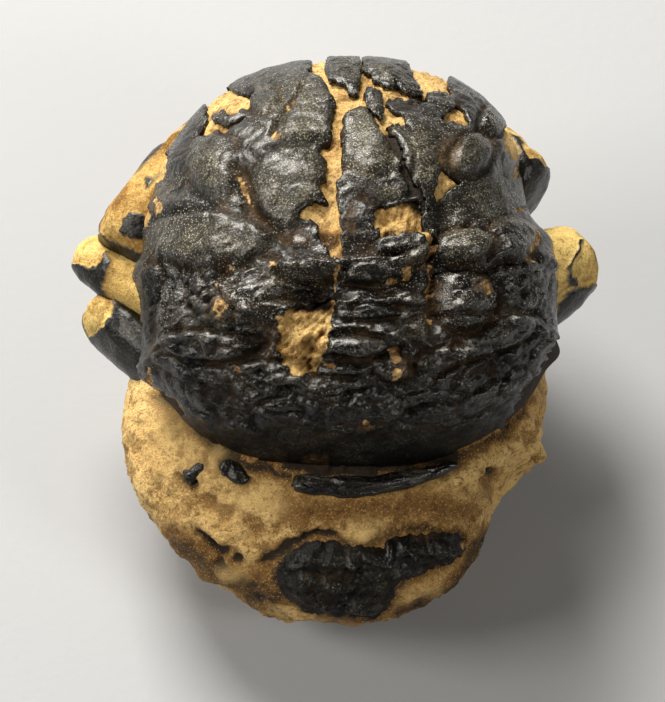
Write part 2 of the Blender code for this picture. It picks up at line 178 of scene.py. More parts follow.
# Flat plates of shell that stand over or under the rest: height in mm, edge in pixels, outline
PLATES = {
    "protogastric_plate": (0.45, 3.0, (
        (310, 76), (322, 78), (332, 98), (331, 134), (318, 134), (292, 138), (282, 133), (294, 105),
    )),
    "outer_protogastric_plate": (0.35, 3.5, (
        (248, 98), (262, 80), (300, 63), (306, 72), (300, 86), (276, 118), (268, 132), (258, 122),
    )),
    "mesogastric_plate": (0.4, 2.5, (
        (346, 114), (366, 110), (382, 133), (396, 155), (409, 185), (402, 195), (378, 199),
        (360, 186), (344, 170), (342, 140),
    )),
    "mesogastric_upper": (0.35, 2.0, (
        (346, 112), (368, 112), (384, 136), (390, 158), (384, 172), (362, 172), (343, 162),
    )),
    "right_protogastric_plate": (0.3, 2.5, (
        (389, 126), (401, 120), (418, 140), (436, 158), (440, 172), (430, 187), (416, 190),
        (403, 168),
    )),
    "cardiac_plate": (0.35, 4.0, (
        (336, 300), (424, 300), (428, 338), (404, 342), (386, 338), (350, 322), (336, 318),
    )),
}  # fmt: skip

# Rounded swellings and hollows: centre and half-axes in pixels, turn in degrees, height in mm
LUMPS = {
    "left_rim_boss": (166, 206, 14, 16, 0, 0.6),
    "left_mesobranchial_lobe": (250, 298, 34, 28, 20, 0.8),
    "left_outer_boss": (163, 292, 20, 22, 0, 0.6),
    "left_pit": (245, 340, 24, 12, 0, -0.9),
    "urogastric_pit": (303, 296, 34, 10, -3, -2.2),
    "gastric_pit": (362, 247, 20, 8, 0, -0.9),
    "right_low_hollow": (495, 366, 26, 10, -20, -0.9),
    "front_right_droop": (440, 52, 44, 60, 25, -2.2),
    "front_left_droop": (260, 60, 36, 55, -20, -1.6),
    "first_plate_swell": (342, 72, 14, 16, 0, 0.8),
    "second_plate_swell": (388, 72, 24, 10, 25, 0.8),
    "chip_head": (373, 94, 9, 7, 0, 0.6),
    "chip_foot": (376, 110, 7, 8, 0, 0.6),
}

# Bosses that stand over a furrow all round, given in the same way
BOSSES = {
    "left_hepatic": (212, 163, 24, 30, 0, 0.55),
    "left_protogastric": (288, 186, 36, 38, 0, 0.5),
    "left_epibranchial": (208, 238, 58, 26, 0, 0.8),
    "left_rim_knob": (150, 281, 12, 17, 10, 0.8),
    "left_small_knob": (197, 284, 8, 9, 0, 0.7),
    "left_crest": (238, 300, 22, 8, 40, 0.9),
    "left_crumb_seat": (221, 309, 12, 12, 0, 0.4),
    "left_low_fold": (205, 346, 44, 14, 4, 0.9),
    "left_rear_fold": (273, 373, 34, 10, 12, 0.9),
    "transverse_left": (312, 272, 28, 11, 0, 1.1),
    "transverse_right": (376, 273, 34, 9, -4, 0.8),
    "gastric_fold": (403, 240, 30, 9, -12, 0.9),
    "cardiac_crest": (350, 346, 34, 11, 0, 1.0),
    "cardiac_fold": (366, 312, 30, 7, 0, 0.6),
    "cardiac_right": (392, 368, 18, 13, 10, 0.8),
    "rear_boss": (330, 386, 28, 8, 0, 0.6),
    "right_epibranchial": (464, 246, 28, 16, -6, 1.3),
    "right_mesobranchial": (466, 298, 30, 30, 0, 1.0),
    "right_outer": (514, 238, 24, 20, 0, 0.6),
    "right_far": (528, 282, 20, 26, 0, 0.6),
    "right_low_fold": (498, 338, 44, 13, -25, 0.9),
    "right_rear_fold": (440, 360, 24, 11, -20, 0.7),
    "right_hepatic": (474, 153, 17, 20, 30, 0.8),
    "right_gastric": (400, 150, 10, 24, -20, 0.3),
    "front_right_knob": (495, 118, 14, 14, 0, 0.9),
    "front_left_knob": (262, 94, 14, 16, 0, 0.5),
}
RELIEF_LIMIT = 1.5 * MM
HOLLOW_STEPS = 24
HOLLOW_DEPTH = 0.28 * MM
BOSS_EDGE = 0.5  # of the half-axes, over which a boss rises
FURROW_REACH = 1.2  # of the half-axes, where the furrow runs
FURROW_WIDTH = 0.2
FURROW_SHARE = 0.7  # of the boss's height

# Ridges, and below zero grooves and cracks: half-width in pixels, height in mm, path
RIDGES = {
    "transverse_ridge": (7, 1.2, (
        (284, 267), (310, 264), (336, 266), (362, 264), (392, 262), (414, 257), (428, 246), (432, 238),
    )),
    "under_ridge": (4, 0.4, ((340, 281), (362, 279), (384, 283), (404, 290))),
    "ledge_ridge": (4, 0.4, ((335, 304), (360, 301), (400, 300), (426, 303))),
    "cardiac_ridge": (5, 0.6, ((322, 346), (346, 342), (368, 350), (386, 344))),
    "cardiac_fold": (3, 0.4, ((332, 328), (356, 324), (384, 333))),
    "left_branchial_edge": (3, 0.4, ((222, 268), (240, 263), (264, 262), (284, 264))),
    "left_branchial_crest": (4, 0.5, ((221, 287), (236, 298), (252, 312))),
    "left_wishbone": (2, 0.3, ((163, 262), (172, 272), (181, 286), (193, 276), (199, 284), (202, 296))),
    "left_rear_crest": (4, 0.5, ((250, 362), (268, 370), (282, 380), (270, 392))),
    "right_rear_crest": (8, 0.6, ((462, 353), (480, 342), (500, 330), (524, 316))),
    "right_rear_rib": (3, 0.4, ((444, 377), (457, 369), (468, 362))),
    "rear_rib_a": (3, 0.35, ((404, 406), (420, 402), (444, 404))),
    "rear_rib_b": (3, 0.35, ((398, 414), (408, 418), (420, 413))),
    "rear_rib_c": (3, 0.3, ((288, 425), (300, 430), (330, 424), (348, 431))),
    "rear_rib_d": (3, 0.3, ((296, 384), (320, 388), (340, 384))),
    "gastric_furrow": (4, -0.8, ((344, 252), (370, 256), (402, 254), (420, 262))),
    "mesogastric_crack": (2.5, -0.5, ((342, 164), (358, 173), (378, 178), (388, 176))),
    "gastric_lower_crack": (3, -0.5, ((362, 196), (376, 201), (400, 197), (412, 192))),
    "protogastric_notch": (3, -0.6, ((332, 137), (318, 137), (304, 139), (284, 140), (268, 146))),
    "sliver": (2.5, -0.4, ((302, 84), (290, 100), (280, 115), (271, 130))),
    "left_cervical_furrow": (6, -0.7, ((236, 166), (244, 182), (248, 200), (262, 222), (284, 240))),
    "right_boss_furrow": (4, -0.9, ((436, 261), (452, 265), (474, 271), (496, 266))),
    "right_far_furrow": (5, -0.4, ((498, 262), (500, 286), (506, 310))),
    "strip_crack": (4, -0.7, ((432, 258), (436, 280), (431, 305), (433, 332))),
    "cardiac_furrow": (3.5, -0.7, ((334, 354), (358, 364), (384, 361), (404, 346))),
    "right_rear_furrow": (4, -0.5, ((452, 348), (472, 360), (494, 352), (516, 346))),
    "left_branchial_furrow": (4, -0.8, ((206, 300), (214, 286), (220, 272), (226, 262))),
    "left_low_furrow": (4, -0.5, ((180, 366), (214, 366), (246, 356), (262, 346))),
    "middle_crack": (1.6, -0.35, ((337, 262), (336, 276), (333, 290), (332, 303))),
}

# Stone left on the shell: centre and half-axes in pixels, turn in degrees
CRUMBS = {
    "left_branchial": (220, 308, 10, 10, -30),
    "left_upper": (225, 267, 8, 4, 0),
    "left_middle": (217, 284, 5, 3, 0),
    "left_low": (241, 368, 6, 6, 0),
    "right_branchial": (484, 286, 8, 10, 40),
    "gastric_right": (407, 272, 9, 7, 0),
    "gastric_low": (392, 282, 10, 4, -10),
    "cardiac_right": (396, 354, 6, 10, 20),
    "cardiac_low": (394, 375, 7, 7, 0),
    "left_margin": (149, 376, 3, 10, -15),
    "left_front_margin": (157, 206, 4, 12, 0),
    "left_cervical": (241, 186, 3, 14, -15),
    "left_cervical_foot": (249, 201, 4, 6, 0),
    "gastric_left": (276, 264, 8, 4, 0),
    "right_front": (523, 208, 8, 3, 10),
    "right_margin": (537, 238, 5, 14, 10),
    "right_margin_foot": (534, 257, 7, 5, 0),
    "strip_upper": (434, 270, 3, 10, 0),
    "strip_middle": (434, 292, 4, 10, 5),
    "strip_lower": (431, 320, 4, 10, 0),
    "left_gastric": (274, 133, 4, 6, 30),
    "left_front_crack": (288, 104, 2, 14, 35),
    "middle_crack": (336, 278, 3, 16, 6),
    "rear": (368, 423, 4, 4, 0),
    "cardiac_foot": (326, 366, 10, 4, 20),
    "right_upper_margin": (516, 172, 3, 9, 15),
}

# Brown stain on the shell, given in the same way
RUST = {
    "rear_margin": (316, 461, 18, 10, -5),
    "cardiac_side": (268, 345, 8, 26, 0),
    "left_gastric_foot": (292, 236, 24, 12, 10),
    "gastric_stem": (350, 222, 8, 26, 0),
    "gastric_fold": (420, 264, 24, 8, 0),
    "strip": (434, 290, 9, 44, 0),
    "left_cervical": (244, 190, 9, 26, -15),
    "left_branchial": (224, 306, 22, 22, 0),
    "right_branchial": (482, 284, 18, 18, 0),
    "right_margin": (534, 242, 12, 28, 0),
    "cardiac_low": (402, 366, 20, 16, 0),
    "rear_middle": (366, 426, 12, 10, 0),
    "right_gastric": (450, 150, 16, 26, 0),
}

# Hollows of the shell painted black as shade, with neither dust nor shine, given in the same way
SHADED_HOLLOWS = {
    "urogastric_pit": (307, 297, 30, 11, 0),
    "right_boss_foot": (464, 269, 40, 5, 4),
    "left_edge": (150, 300, 9, 44, 0),
    "left_gastric_foot": (296, 250, 30, 8, 8),
    "right_gutter": (438, 214, 8, 30, 0),
    "left_moat": (206, 318, 22, 7, 30),
    "cardiac_gutter": (420, 352, 9, 26, -20),
    "left_cervical": (262, 222, 9, 28, -25),
    "left_pit": (250, 342, 18, 10, 0),
    "right_low": (494, 368, 26, 9, -20),
    "mesogastric_side": (352, 224, 12, 18, 0),
    "gastric_ledge": (362, 182, 20, 4, 18),
    "left_notch": (296, 143, 24, 4, 0),
    "left_rear": (212, 390, 40, 14, 20),
}

# Where the shell is dusty and dull, with a painted grey sheen: centre and half-axes in pixels, strength
DUST_AND_SHEEN = {
    "left_protogastric": (300, 120, 34, 50, 0.8),
    "left_gastric": (290, 190, 40, 34, 0.8),
    "mesogastric": (372, 140, 32, 50, 0.9),
    "right_protogastric": (420, 160, 24, 34, 0.9),
    "left_hepatic": (212, 165, 24, 26, 0.8),
    "left_branchial": (215, 240, 60, 26, 0.8),
    "right_hepatic": (470, 150, 26, 26, 0.6),
    "right_branchial": (464, 243, 30, 20, 0.6),
    "right_front": (490, 195, 40, 30, 0.6),
    "gastric_fold": (420, 245, 20, 12, 0.7),
    "left_front": (270, 95, 24, 20, 0.8),
    "gastric": (390, 195, 26, 12, 0.8),
    "cardiac_right": (420, 320, 22, 24, 0.5),
    "left_low": (205, 320, 34, 16, 0.4),
    "front_plates": (380, 75, 40, 12, 0.7),
    "left_margin": (160, 190, 16, 30, 0.6),
}

# The tail's last plates, by outline in pixels
TAIL_OUTLINE = (
    (279, 566), (288, 553), (306, 543), (334, 540), (352, 546), (366, 548), (382, 544),
    (398, 536), (420, 533), (444, 533), (462, 536), (466, 546), (452, 560), (436, 566),
    (424, 572), (404, 578), (396, 590), (390, 606), (372, 616), (340, 616), (312, 610),
    (296, 604), (284, 594), (276, 580),
)  # fmt: skip

# Stains and painted shade on the stone, by path in pixels: half-width, darkness, hollow in mm
STAINS_AND_SHADE = {
    "left_crack": (6, 1.0, -0.8, ((198, 536), (207, 544), (207, 552), (216, 558), (224, 553))),
    "left_low_pits": (4, 1.2, -0.6, ((218, 566), (223, 569))),
    "left_low_pit": (4, 1.2, -0.5, ((232, 563), (239, 562))),
    "left_brown": (9, 0.35, -0.2, ((178, 512), (190, 508), (205, 500), (214, 492))),
    "left_dash": (3, 0.6, -0.2, ((244, 527), (256, 523))),
    "left_shade": (16, 0.6, -0.5, ((170, 540), (190, 556), (214, 566))),
    "above_band": (6, 0.35, -0.3, ((262, 478), (280, 484), (290, 492))),
    "right_hollow": (7, 0.9, -0.9, ((486, 479), (494, 474), (498, 480))),
    "right_dash": (4, 1.1, -0.6, ((500, 493), (511, 496))),
    "right_edge_shade": (5, 0.5, -0.4, ((526, 436), (529, 452), (522, 470))),
    "right_spots": (7, 0.5, -0.2, ((456, 527), (466, 533), (476, 522))),
    "right_low_shade": (9, 0.5, 0.0, ((462, 548), (474, 540), (480, 528))),
    "under_ledge": (7, 1.0, -0.7, ((262, 566), (282, 552), (304, 541), (334, 538))),
    "right_ledge": (5, 0.5, -0.3, ((398, 526), (420, 527), (440, 530))),
    "low_left_shade": (10, 0.55, 0.0, ((236, 590), (256, 582), (272, 580))),
    "band_foot": (4, 0.45, -0.1, ((300, 495), (350, 496), (400, 490), (440, 476))),
    "rim_line": (3, 0.4, -0.2, ((462, 458), (480, 448), (500, 440), (512, 430))),
    "band_shade": (20, 0.6, 0.0, ((290, 512), (330, 512), (380, 508), (430, 508), (470, 512))),
    "strip_gap": (13, 1.4, -0.7, ((286, 460), (310, 466), (350, 470), (400, 467), (450, 456))),
    "margin_line": (7, 0.9, -0.4, ((150, 398), (182, 420), (206, 446), (236, 464), (262, 474), (290, 478))),
    "right_margin_line": (7, 0.8, -0.3, ((450, 462), (478, 448), (505, 436), (522, 416), (540, 388))),
    "round_pit": (7, 1.4, -1.5, ((182, 483), (187, 488))),
    "leg_tip_pit": (8, 1.4, -1.6, ((222, 463), (232, 475), (240, 485))),
    "splinter_pit": (6, 0.7, -0.5, ((192, 473), (204, 466))),
    "strip_foot": (5, 0.7, -0.4, ((306, 490), (350, 493), (400, 488), (446, 474))),
    "left_foot_shade": (20, 0.75, 0.0, ((176, 545), (200, 568), (240, 585), (262, 590))),
    "left_band_shade": (9, 0.45, 0.0, ((206, 436), (240, 452), (280, 472), (296, 486))),
    "foot_shade": (12, 0.8, 0.0, ((400, 618), (440, 596), (466, 570), (490, 536))),
    "left_bottom_shade": (12, 0.8, 0.0, ((236, 604), (262, 600), (284, 594), (276, 574))),
    "tail_fringe": (7, 0.8, -0.2, TAIL_OUTLINE + TAIL_OUTLINE[:1]),
    "right_brown": (14, 0.4, 0.0, ((470, 430), (500, 424), (522, 410))),
    "right_shade": (16, 0.4, 0.0, ((440, 500), (480, 500), (510, 480))),
}
# Paler stone, partly its own pale tone and partly painted light
PALE_AND_LIT_STONE = {  # centre and half-axes in pixels, strength
    "tail_notch": (365, 537, 18, 10, 0.8),
    "middle": (275, 508, 16, 10, 0.7),
    "left_low": (230, 576, 18, 8, 0.7),
    "left": (168, 425, 40, 50, 0.5),
    "left_band": (245, 505, 34, 16, 0.7),
    "strip_foot": (432, 486, 12, 6, 0.4),
    "right_spur": (532, 462, 8, 12, 0.8),
    "cream_ridge": (213, 459, 8, 18, 0.8),
    "right_top": (545, 395, 8, 22, 0.5),
    "left_middle": (190, 470, 34, 22, 0.5),
    "tail_right": (420, 592, 24, 8, 0.5),
}
STONE_LUMPS = {  # centre and half-axes in pixels, turn in degrees, height in mm
    "tail_boss": (366, 534, 20, 9, 0, 0.9),
    "tail_hollow_left": (318, 545, 34, 8, -8, -0.8),
    "tail_hollow_right": (425, 532, 26, 7, 0, -0.8),
    "low_ledge": (425, 588, 34, 10, -20, 0.8),
    "band_step": (380, 505, 80, 14, 0, 0.3),
    "left_low_boss": (228, 576, 22, 8, 0, 0.6),
    "left_swell": (160, 470, 24, 34, 0, 0.4),
    "left_dent": (200, 505, 30, 16, 0, -0.4),
    "right_swell": (500, 455, 26, 14, -30, 0.5),
    "right_dent": (500, 485, 16, 10, 0, -0.6),
    "low_spur": (272, 602, 9, 8, 45, 0.8),
    "cream_ridge": (213, 459, 20, 6, 66, 0.6),
    "right_spur": (532, 462, 8, 14, 0, 0.9),
    "right_upper_hollow": (491, 478, 12, 9, -30, -1.2),
    "left_dip": (216, 512, 26, 10, 10, -0.6),
    "left_low_dip": (206, 548, 18, 12, 40, -0.8),
    "middle_swell": (300, 510, 30, 14, 0, 0.4),
    "right_brown_swell": (448, 530, 26, 14, -10, 0.5),
}

# Stumps and splinters, as in the solids: root, tip, half-width, half-height, tip's share, bow, in mm
BARRELS = {
    "left_claw_arm": ((-17.5, 34.0, 31.0), (-32.5, 13.0, 31.0), 6.5, 7.5, 0.95, (0, 0, 0)),
    "left_leg_front": ((-21.0, 6.0, 28.5), (-39.0, 16.5, 27.0), 5.8, 5.2, 0.65, (0, 0, 0)),
    "left_leg_rear": ((-21.0, -5.0, 20.5), (-37.0, 9.5, 23.0), 4.2, 6.0, 0.85, (0, 0, 0)),
    "right_claw_arm": ((15.0, 35.5, 31.0), (27.0, 23.6, 30.6), 5.4, 7.5, 0.92, (0, 0, 0)),
    "right_leg": ((20.0, 9.5, 25.0), (35.2, 16.8, 25.5), 8.4, 9.5, 0.6, (0, 0, 0)),
    "first_tail_segment": ((-7.8, -24.0, 29.2), (15.0, -20.8, 29.2), 2.0, 2.1, 0.4, (0, -2.0, 0.3)),
    "buried_leg_tip": ((-17.6, -19.9, 28.0), (-14.2, -22.7, 26.6), 1.5, 1.8, 0.9, (0, 0, 0)),
    "buried_leg_splinter": ((-22.6, -20.8, 25.3), (-19.6, -19.8, 27.0), 1.2, 1.4, 0.8, (0, 0, 0)),
}
LIMBS = {"left_claw_arm", "left_leg_front", "left_leg_rear", "right_claw_arm", "right_leg"}
BARREL_POWER = 4.5
BARREL_AROUND = 150
BARREL_ALONG = 110
BARREL_ROUGHNESS = 0.35 * MM
BARREL_ROUGHNESS_SIZE = 2.5 * MM

LIMB_SHADE = {"left_claw_arm": 0.3}

# Black shell left on the stumps, and painted shadow under them, by outline in pixels
LIMB_BLACK_AND_SHADOW = {
    "left_claw_arm": (
        ((148, 143), (166, 143), (164, 152), (150, 157)),
        ((137, 158), (150, 158), (149, 168), (138, 171)),
        ((143, 178), (156, 176), (152, 186), (147, 190)),
        ((122, 218), (132, 212), (146, 216), (146, 238), (128, 240), (120, 230)),
        ((92, 226), (108, 238), (122, 246), (146, 252), (146, 270), (100, 262), (86, 240)),
    ),
    "left_leg_front": (
        ((72, 264), (98, 266), (106, 250), (112, 262), (100, 290), (74, 292)),
        ((90, 283), (100, 286), (118, 302), (140, 322), (150, 330), (150, 342), (92, 296)),
    ),
    "left_leg_rear": (
        ((112, 292), (150, 318), (158, 400), (118, 372), (84, 342), (98, 330), (112, 318)),
    ),
    "right_claw_arm": (
        ((506, 152), (516, 158), (523, 152), (530, 160), (542, 167), (560, 166), (550, 230), (510, 230)),
        ((508, 128), (512, 129), (520, 141), (526, 153), (522, 155), (517, 145)),
    ),
    "right_leg": (
        ((545, 318), (556, 306), (562, 296), (572, 288), (600, 284), (596, 340), (552, 370)),
        ((580, 240), (584, 240), (579, 254), (573, 264), (572, 276), (578, 285), (566, 288), (568, 268)),
    ),
}

# The tail's last plates, on the stone's rear face
TAIL_BEARING = math.radians(-86.0)
TAIL_ELEVATION = math.radians(-3.5)
TAIL_HALF_ANGLES = (math.radians(20.5), math.radians(10.5))
TAIL_THICKNESS = 1.2 * MM
TAIL_CELLS = 150
TAIL_LUMPS = {
    "left_plate": (326, 556, 40, 9, -6, 0.7),
    "left_lower_plate": (330, 580, 40, 8, 0, 0.6),
    "middle_boss": (381, 552, 14, 12, 0, 1.3),
    "middle_lobe": (352, 560, 12, 8, 20, 0.8),
    "right_lobe": (412, 546, 12, 8, -20, 0.8),
    "left_lobe": (306, 574, 14, 7, -30, 0.7),
    "right_plate": (430, 548, 30, 8, -4, 0.7),
    "lowest_plate": (350, 602, 38, 7, 4, 0.7),
    "upper_furrow": (330, 568, 44, 3, 0, -0.7),
    "lower_furrow": (345, 592, 44, 3, 4, -0.7),
    "middle_furrow": (404, 556, 4, 14, 10, -0.7),
}


# Arithmetic on arrays of points


def stack(x, y, z):
    return np.stack(np.broadcast_arrays(x, y, z), axis=-1)


def unit(vectors):
    return vectors / np.linalg.norm(vectors, axis=-1, keepdims=True)


def smooth(share):
    """Eases from 0 to 1 as the share does."""
    share = np.clip(share, 0.0, 1.0)
    return share * share * (3.0 - 2.0 * share)


def grain(points, size, octaves=1, seed=0.0):
    """Smooth noise, about -1 to 1, with features of about the size."""
    spots = points.reshape(-1, 3) / size + seed
    if octaves == 1:
        found = [noise.noise(Vector(spot)) for spot in spots]
    else:
        found = [noise.fractal(Vector(spot), 0.9, 2.1, octaves) for spot in spots]
    return np.array(found).reshape(points.shape[:-1])


NOISE_SEED = 1
noise.seed_set(NOISE_SEED)  # without it, noise vectors depend on the clock


def facets(points, size, seed=0.0):
    """Height of crushed shards, each leaning its own way, with creases between them."""
    places = points.reshape(-1, 3) / size + seed
    places = places + 0.35 * stack(*(grain(places + 7.0 * k, 0.8) for k in range(3)))
    heights = []
    for place in places:
        place = Vector(place)
        distances, middles = noise.voronoi(place)
        lean = noise.noise_vector(middles[0] * 3.1)
        crease = smooth((distances[1] - distances[0]) / 0.3)
        heights.append(crease + 1.1 * lean.dot(place - middles[0]) + 0.5 * lean.z)
    return np.array(heights).reshape(points.shape[:-1])


def project(points):
    """Where in the photograph's frame each point shows, in pixels."""
    away = points - CAMERA_TARGET
    level, climb = math.cos(CAMERA_ELEVATION), math.sin(CAMERA_ELEVATION)
    depth = CAMERA_DISTANCE + away[..., 1] * level - away[..., 2] * climb
    scale = CAMERA_DISTANCE * PIXELS_PER_METRE / depth
    x = FRAME_SIZE[0] / 2 + away[..., 0] * scale
    y = FRAME_SIZE[1] / 2 - (away[..., 1] * climb + away[..., 2] * level) * scale
    return x, y


def facing(points, directions):
    """How squarely each direction faces the camera."""
    level, climb = math.cos(CAMERA_ELEVATION), math.sin(CAMERA_ELEVATION)
    camera = CAMERA_TARGET + np.array((0.0, -level, climb)) * CAMERA_DISTANCE
    return (unit(camera - points) * directions).sum(-1)


def ellipse_reach(x, y, spec):
    """Distance from a centre in half-axes, for a centre, half-axes and turn."""
    centre_x, centre_y, half_x, half_y, turn = spec[:5]
    turn = math.radians(turn)
    dx, dy = x - centre_x, y - centre_y
    along = (dx * math.cos(turn) + dy * math.sin(turn)) / half_x
    across = (dy * math.cos(turn) - dx * math.sin(turn)) / half_y
    return np.hypot(along, across)


def lump(x, y, spec):
    """A rounded swelling, from 0 to 1."""
    return np.exp(-1.4 * ellipse_reach(x, y, spec) ** 2)


def path_distance(x, y, path, closed=False):
    """Distance to a path, or to a closed outline."""
    best = np.full(x.shape, 1e9)
    ends = path[1:] + path[:1] if closed else path[1:]
    for (x0, y0), (x1, y1) in zip(path, ends):
        dx, dy = x1 - x0, y1 - y0
        t = np.clip(((x - x0) * dx + (y - y0) * dy) / (dx * dx + dy * dy), 0.0, 1.0)
        best = np.minimum(best, np.hypot(x - x0 - t * dx, y - y0 - t * dy))
    return best


def depth_inside(x, y, outline):
    """Distance in from an outline, below zero outside it."""
    inside = np.zeros(x.shape, bool)
    for (x0, y0), (x1, y1) in zip(outline, outline[1:] + outline[:1]):
        if y0 != y1:
            crossing = x0 + (y - y0) * (x1 - x0) / (y1 - y0)
            inside ^= ((y0 > y) != (y1 > y)) & (x < crossing)
    away = path_distance(x, y, outline, closed=True)
    return np.where(inside, away, -away)


def ragged(x, y, reach, size, seed):
    """The places moved by noise, so that lines drawn there look broken."""
    spots = stack(x, y, seed)
    return x + reach * grain(spots, size, 3), y + reach * grain(spots, size, 3, 31.7)


# Meshes


def add_piece(name, vertices, faces, values, material, nodes):
    """A closed piece of the fossil, with values at its vertices for its material to use."""
    mesh = bpy.data.meshes.new(name)
    mesh.from_pydata(vertices.tolist(), [], faces.tolist())
    body = bmesh.new()
    body.from_mesh(mesh)
    bmesh.ops.recalc_face_normals(body, faces=body.faces)
    body.to_mesh(mesh)
    body.free()
    mesh.shade_smooth()
    for key, numbers in values.items():
        mesh.attributes.new(key, "FLOAT", "POINT").data.foreach_set("value", numbers)
    obj = bpy.data.objects.new(f"{name}_skin", mesh)
    bpy.context.scene.collection.objects.link(obj)
    mesh.materials.append(material)
    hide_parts(*nodes)
    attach(obj, "root")
    return obj


def grid_faces(rows, columns, wrap=False):
    """Quads of a grid of vertices, row by row."""
    across = columns if wrap else columns - 1
    i, j = np.meshgrid(np.arange(rows - 1), np.arange(across), indexing="ij")
    near, beside = i * columns + j, i * columns + (j + 1) % columns
    return np.stack((near, beside, beside + columns, near + columns), -1).reshape(-1, 4)


def close_sheet(outer, inner, triangles):
    """Both sides of a sheet and the walls along its edges, with only the vertices in use."""
    count = len(outer)
    edges = np.concatenate([triangles[:, (0, 1)], triangles[:, (1, 2)], triangles[:, (2, 0)]])
    rim = edges[~np.isin(edges[:, 0] * count + edges[:, 1], edges[:, 1] * count + edges[:, 0])]
    a, b = rim[:, 0], rim[:, 1]
    faces = np.concatenate([
        triangles,
        triangles[:, ::-1] + count,
        np.stack((b, a, a + count), -1),
        np.stack((b, a + count, b + count), -1),
    ])
    used, faces = np.unique(faces, return_inverse=True)
    return np.concatenate([outer, inner])[used], faces.reshape(-1, 3), used


def cut_sheet(surface, u_range, v_range, cells, field):
    """Triangles of a sheet where the field is above zero, with an edge that follows its zero line."""
    v, u = np.meshgrid(np.linspace(*v_range, cells + 1), np.linspace(*u_range, cells + 1), indexing="ij")
    value = field(u, v)
    slope_v, slope_u = np.gradient(value)
    steep = slope_u**2 + slope_v**2 + 1e-12
    move_u, move_v = -value * slope_u / steep, -value * slope_v / steep
    snapped = (np.abs(move_u) < 0.55) & (np.abs(move_v) < 0.55) & (np.hypot(move_u, move_v) < 0.62)
    inner = np.zeros_like(snapped)
    inner[1:-1, 1:-1] = True
    snapped &= inner
    step_u = (u_range[1] - u_range[0]) / cells
    step_v = (v_range[1] - v_range[0]) / cells
    u = u + np.where(snapped, move_u * step_u, 0.0)
    v = v + np.where(snapped, move_v * step_v, 0.0)
    value = np.where(snapped, 0.0, value).ravel()
    quads = grid_faces(cells + 1, cells + 1)
    on = snapped.ravel()[quads]
    flip = on[:, 1] & on[:, 3] & ~(on[:, 0] & on[:, 2])
    quads = np.where(flip[:, None], np.roll(quads, -1, axis=1), quads)
    triangles = np.concatenate([quads[:, (0, 1, 2)], quads[:, (0, 2, 3)]])
    return u, v, triangles[value[triangles].mean(axis=1) > 0.0]


# The carapace


def from_carapace(plan):
    """Points of the carapace's own frame in the row's."""
    climb, level = math.sin(CARAPACE_TILT), math.cos(CARAPACE_TILT)
    across, ahead, up = plan[..., 0], plan[..., 1], plan[..., 2]
    return stack(across, ahead * level - up * climb, ahead * climb + up * level)


def to_carapace(points):
    """And the other way round."""
    climb, level = math.sin(CARAPACE_TILT), math.cos(CARAPACE_TILT)
    x, y, z = np.moveaxis(points - CARAPACE_FOOT, -1, 0)
    return stack(x, y * level + z * climb, z * level - y * climb)


def margin_radius(angle):
    """Plan distance from the crown to the margin, with its teeth, at a bearing."""
    ahead = np.sin(angle) > 0
    length = np.where(ahead, CARAPACE_FRONT_LENGTH, CARAPACE_REAR_LENGTH)
    power = np.where(ahead, FRONT_OUTLINE_POWER, REAR_OUTLINE_POWER)
    share = np.abs(np.cos(angle) / CARAPACE_HALF_WIDTH) ** power + np.abs(np.sin(angle) / length) ** power
    radius = share ** (-1.0 / power)
    for bearing, half_width, height in MARGIN_TEETH:
        away = (np.degrees(angle) - bearing + 180.0) % 360.0 - 180.0
        radius = radius + height * MM * np.exp(-((away / half_width) ** 2))
    return radius


def dome_height(share, angle):
    """Height over the margin's plane at a share of the way from the crown to the margin."""
    rearward = np.maximum(0.0, -np.sin(angle)) ** 2
    steepness = SIDE_STEEPNESS + (REAR_STEEPNESS - SIDE_STEEPNESS) * rearward
    return CARAPACE_HEIGHT * np.maximum(0.0, 1.0 - share**PLATEAU_POWER) ** (1.0 / steepness)


def carapace_surface(u, v):
    """The smooth carapace: its points, the ways out of it, and shares of the way to the margin."""
    x, y = u * np.sqrt(1.0 - v * v / 2.0), v * np.sqrt(1.0 - u * u / 2.0)
    reach, angle = np.minimum(1.0, np.hypot(x, y)), np.arctan2(y, x)
    share = np.minimum(1.0, reach * (1.1 - 0.1 * reach**4))
    radius = share * margin_radius(angle)
    plan = stack(radius * np.cos(angle), radius * np.sin(angle), dome_height(share, angle))
    relief = np.zeros_like(share)
    for across, ahead, half_width, half_length, height in REGIONS:
        off_x, off_y = plan[..., 0] / MM - across, plan[..., 1] / MM - ahead
        away = (off_x / half_width) ** 2 + (off_y / half_length) ** 2
        relief += height * MM * np.exp(-REGION_FALLOFF * away)
    relief *= 1.0 - share**RIM_POWER
    out = unit(stack(plan[..., 0], plan[..., 1], CARAPACE_HEIGHT))
    return from_carapace(plan + out * relief[..., None]) + CARAPACE_FOOT, from_carapace(out), share


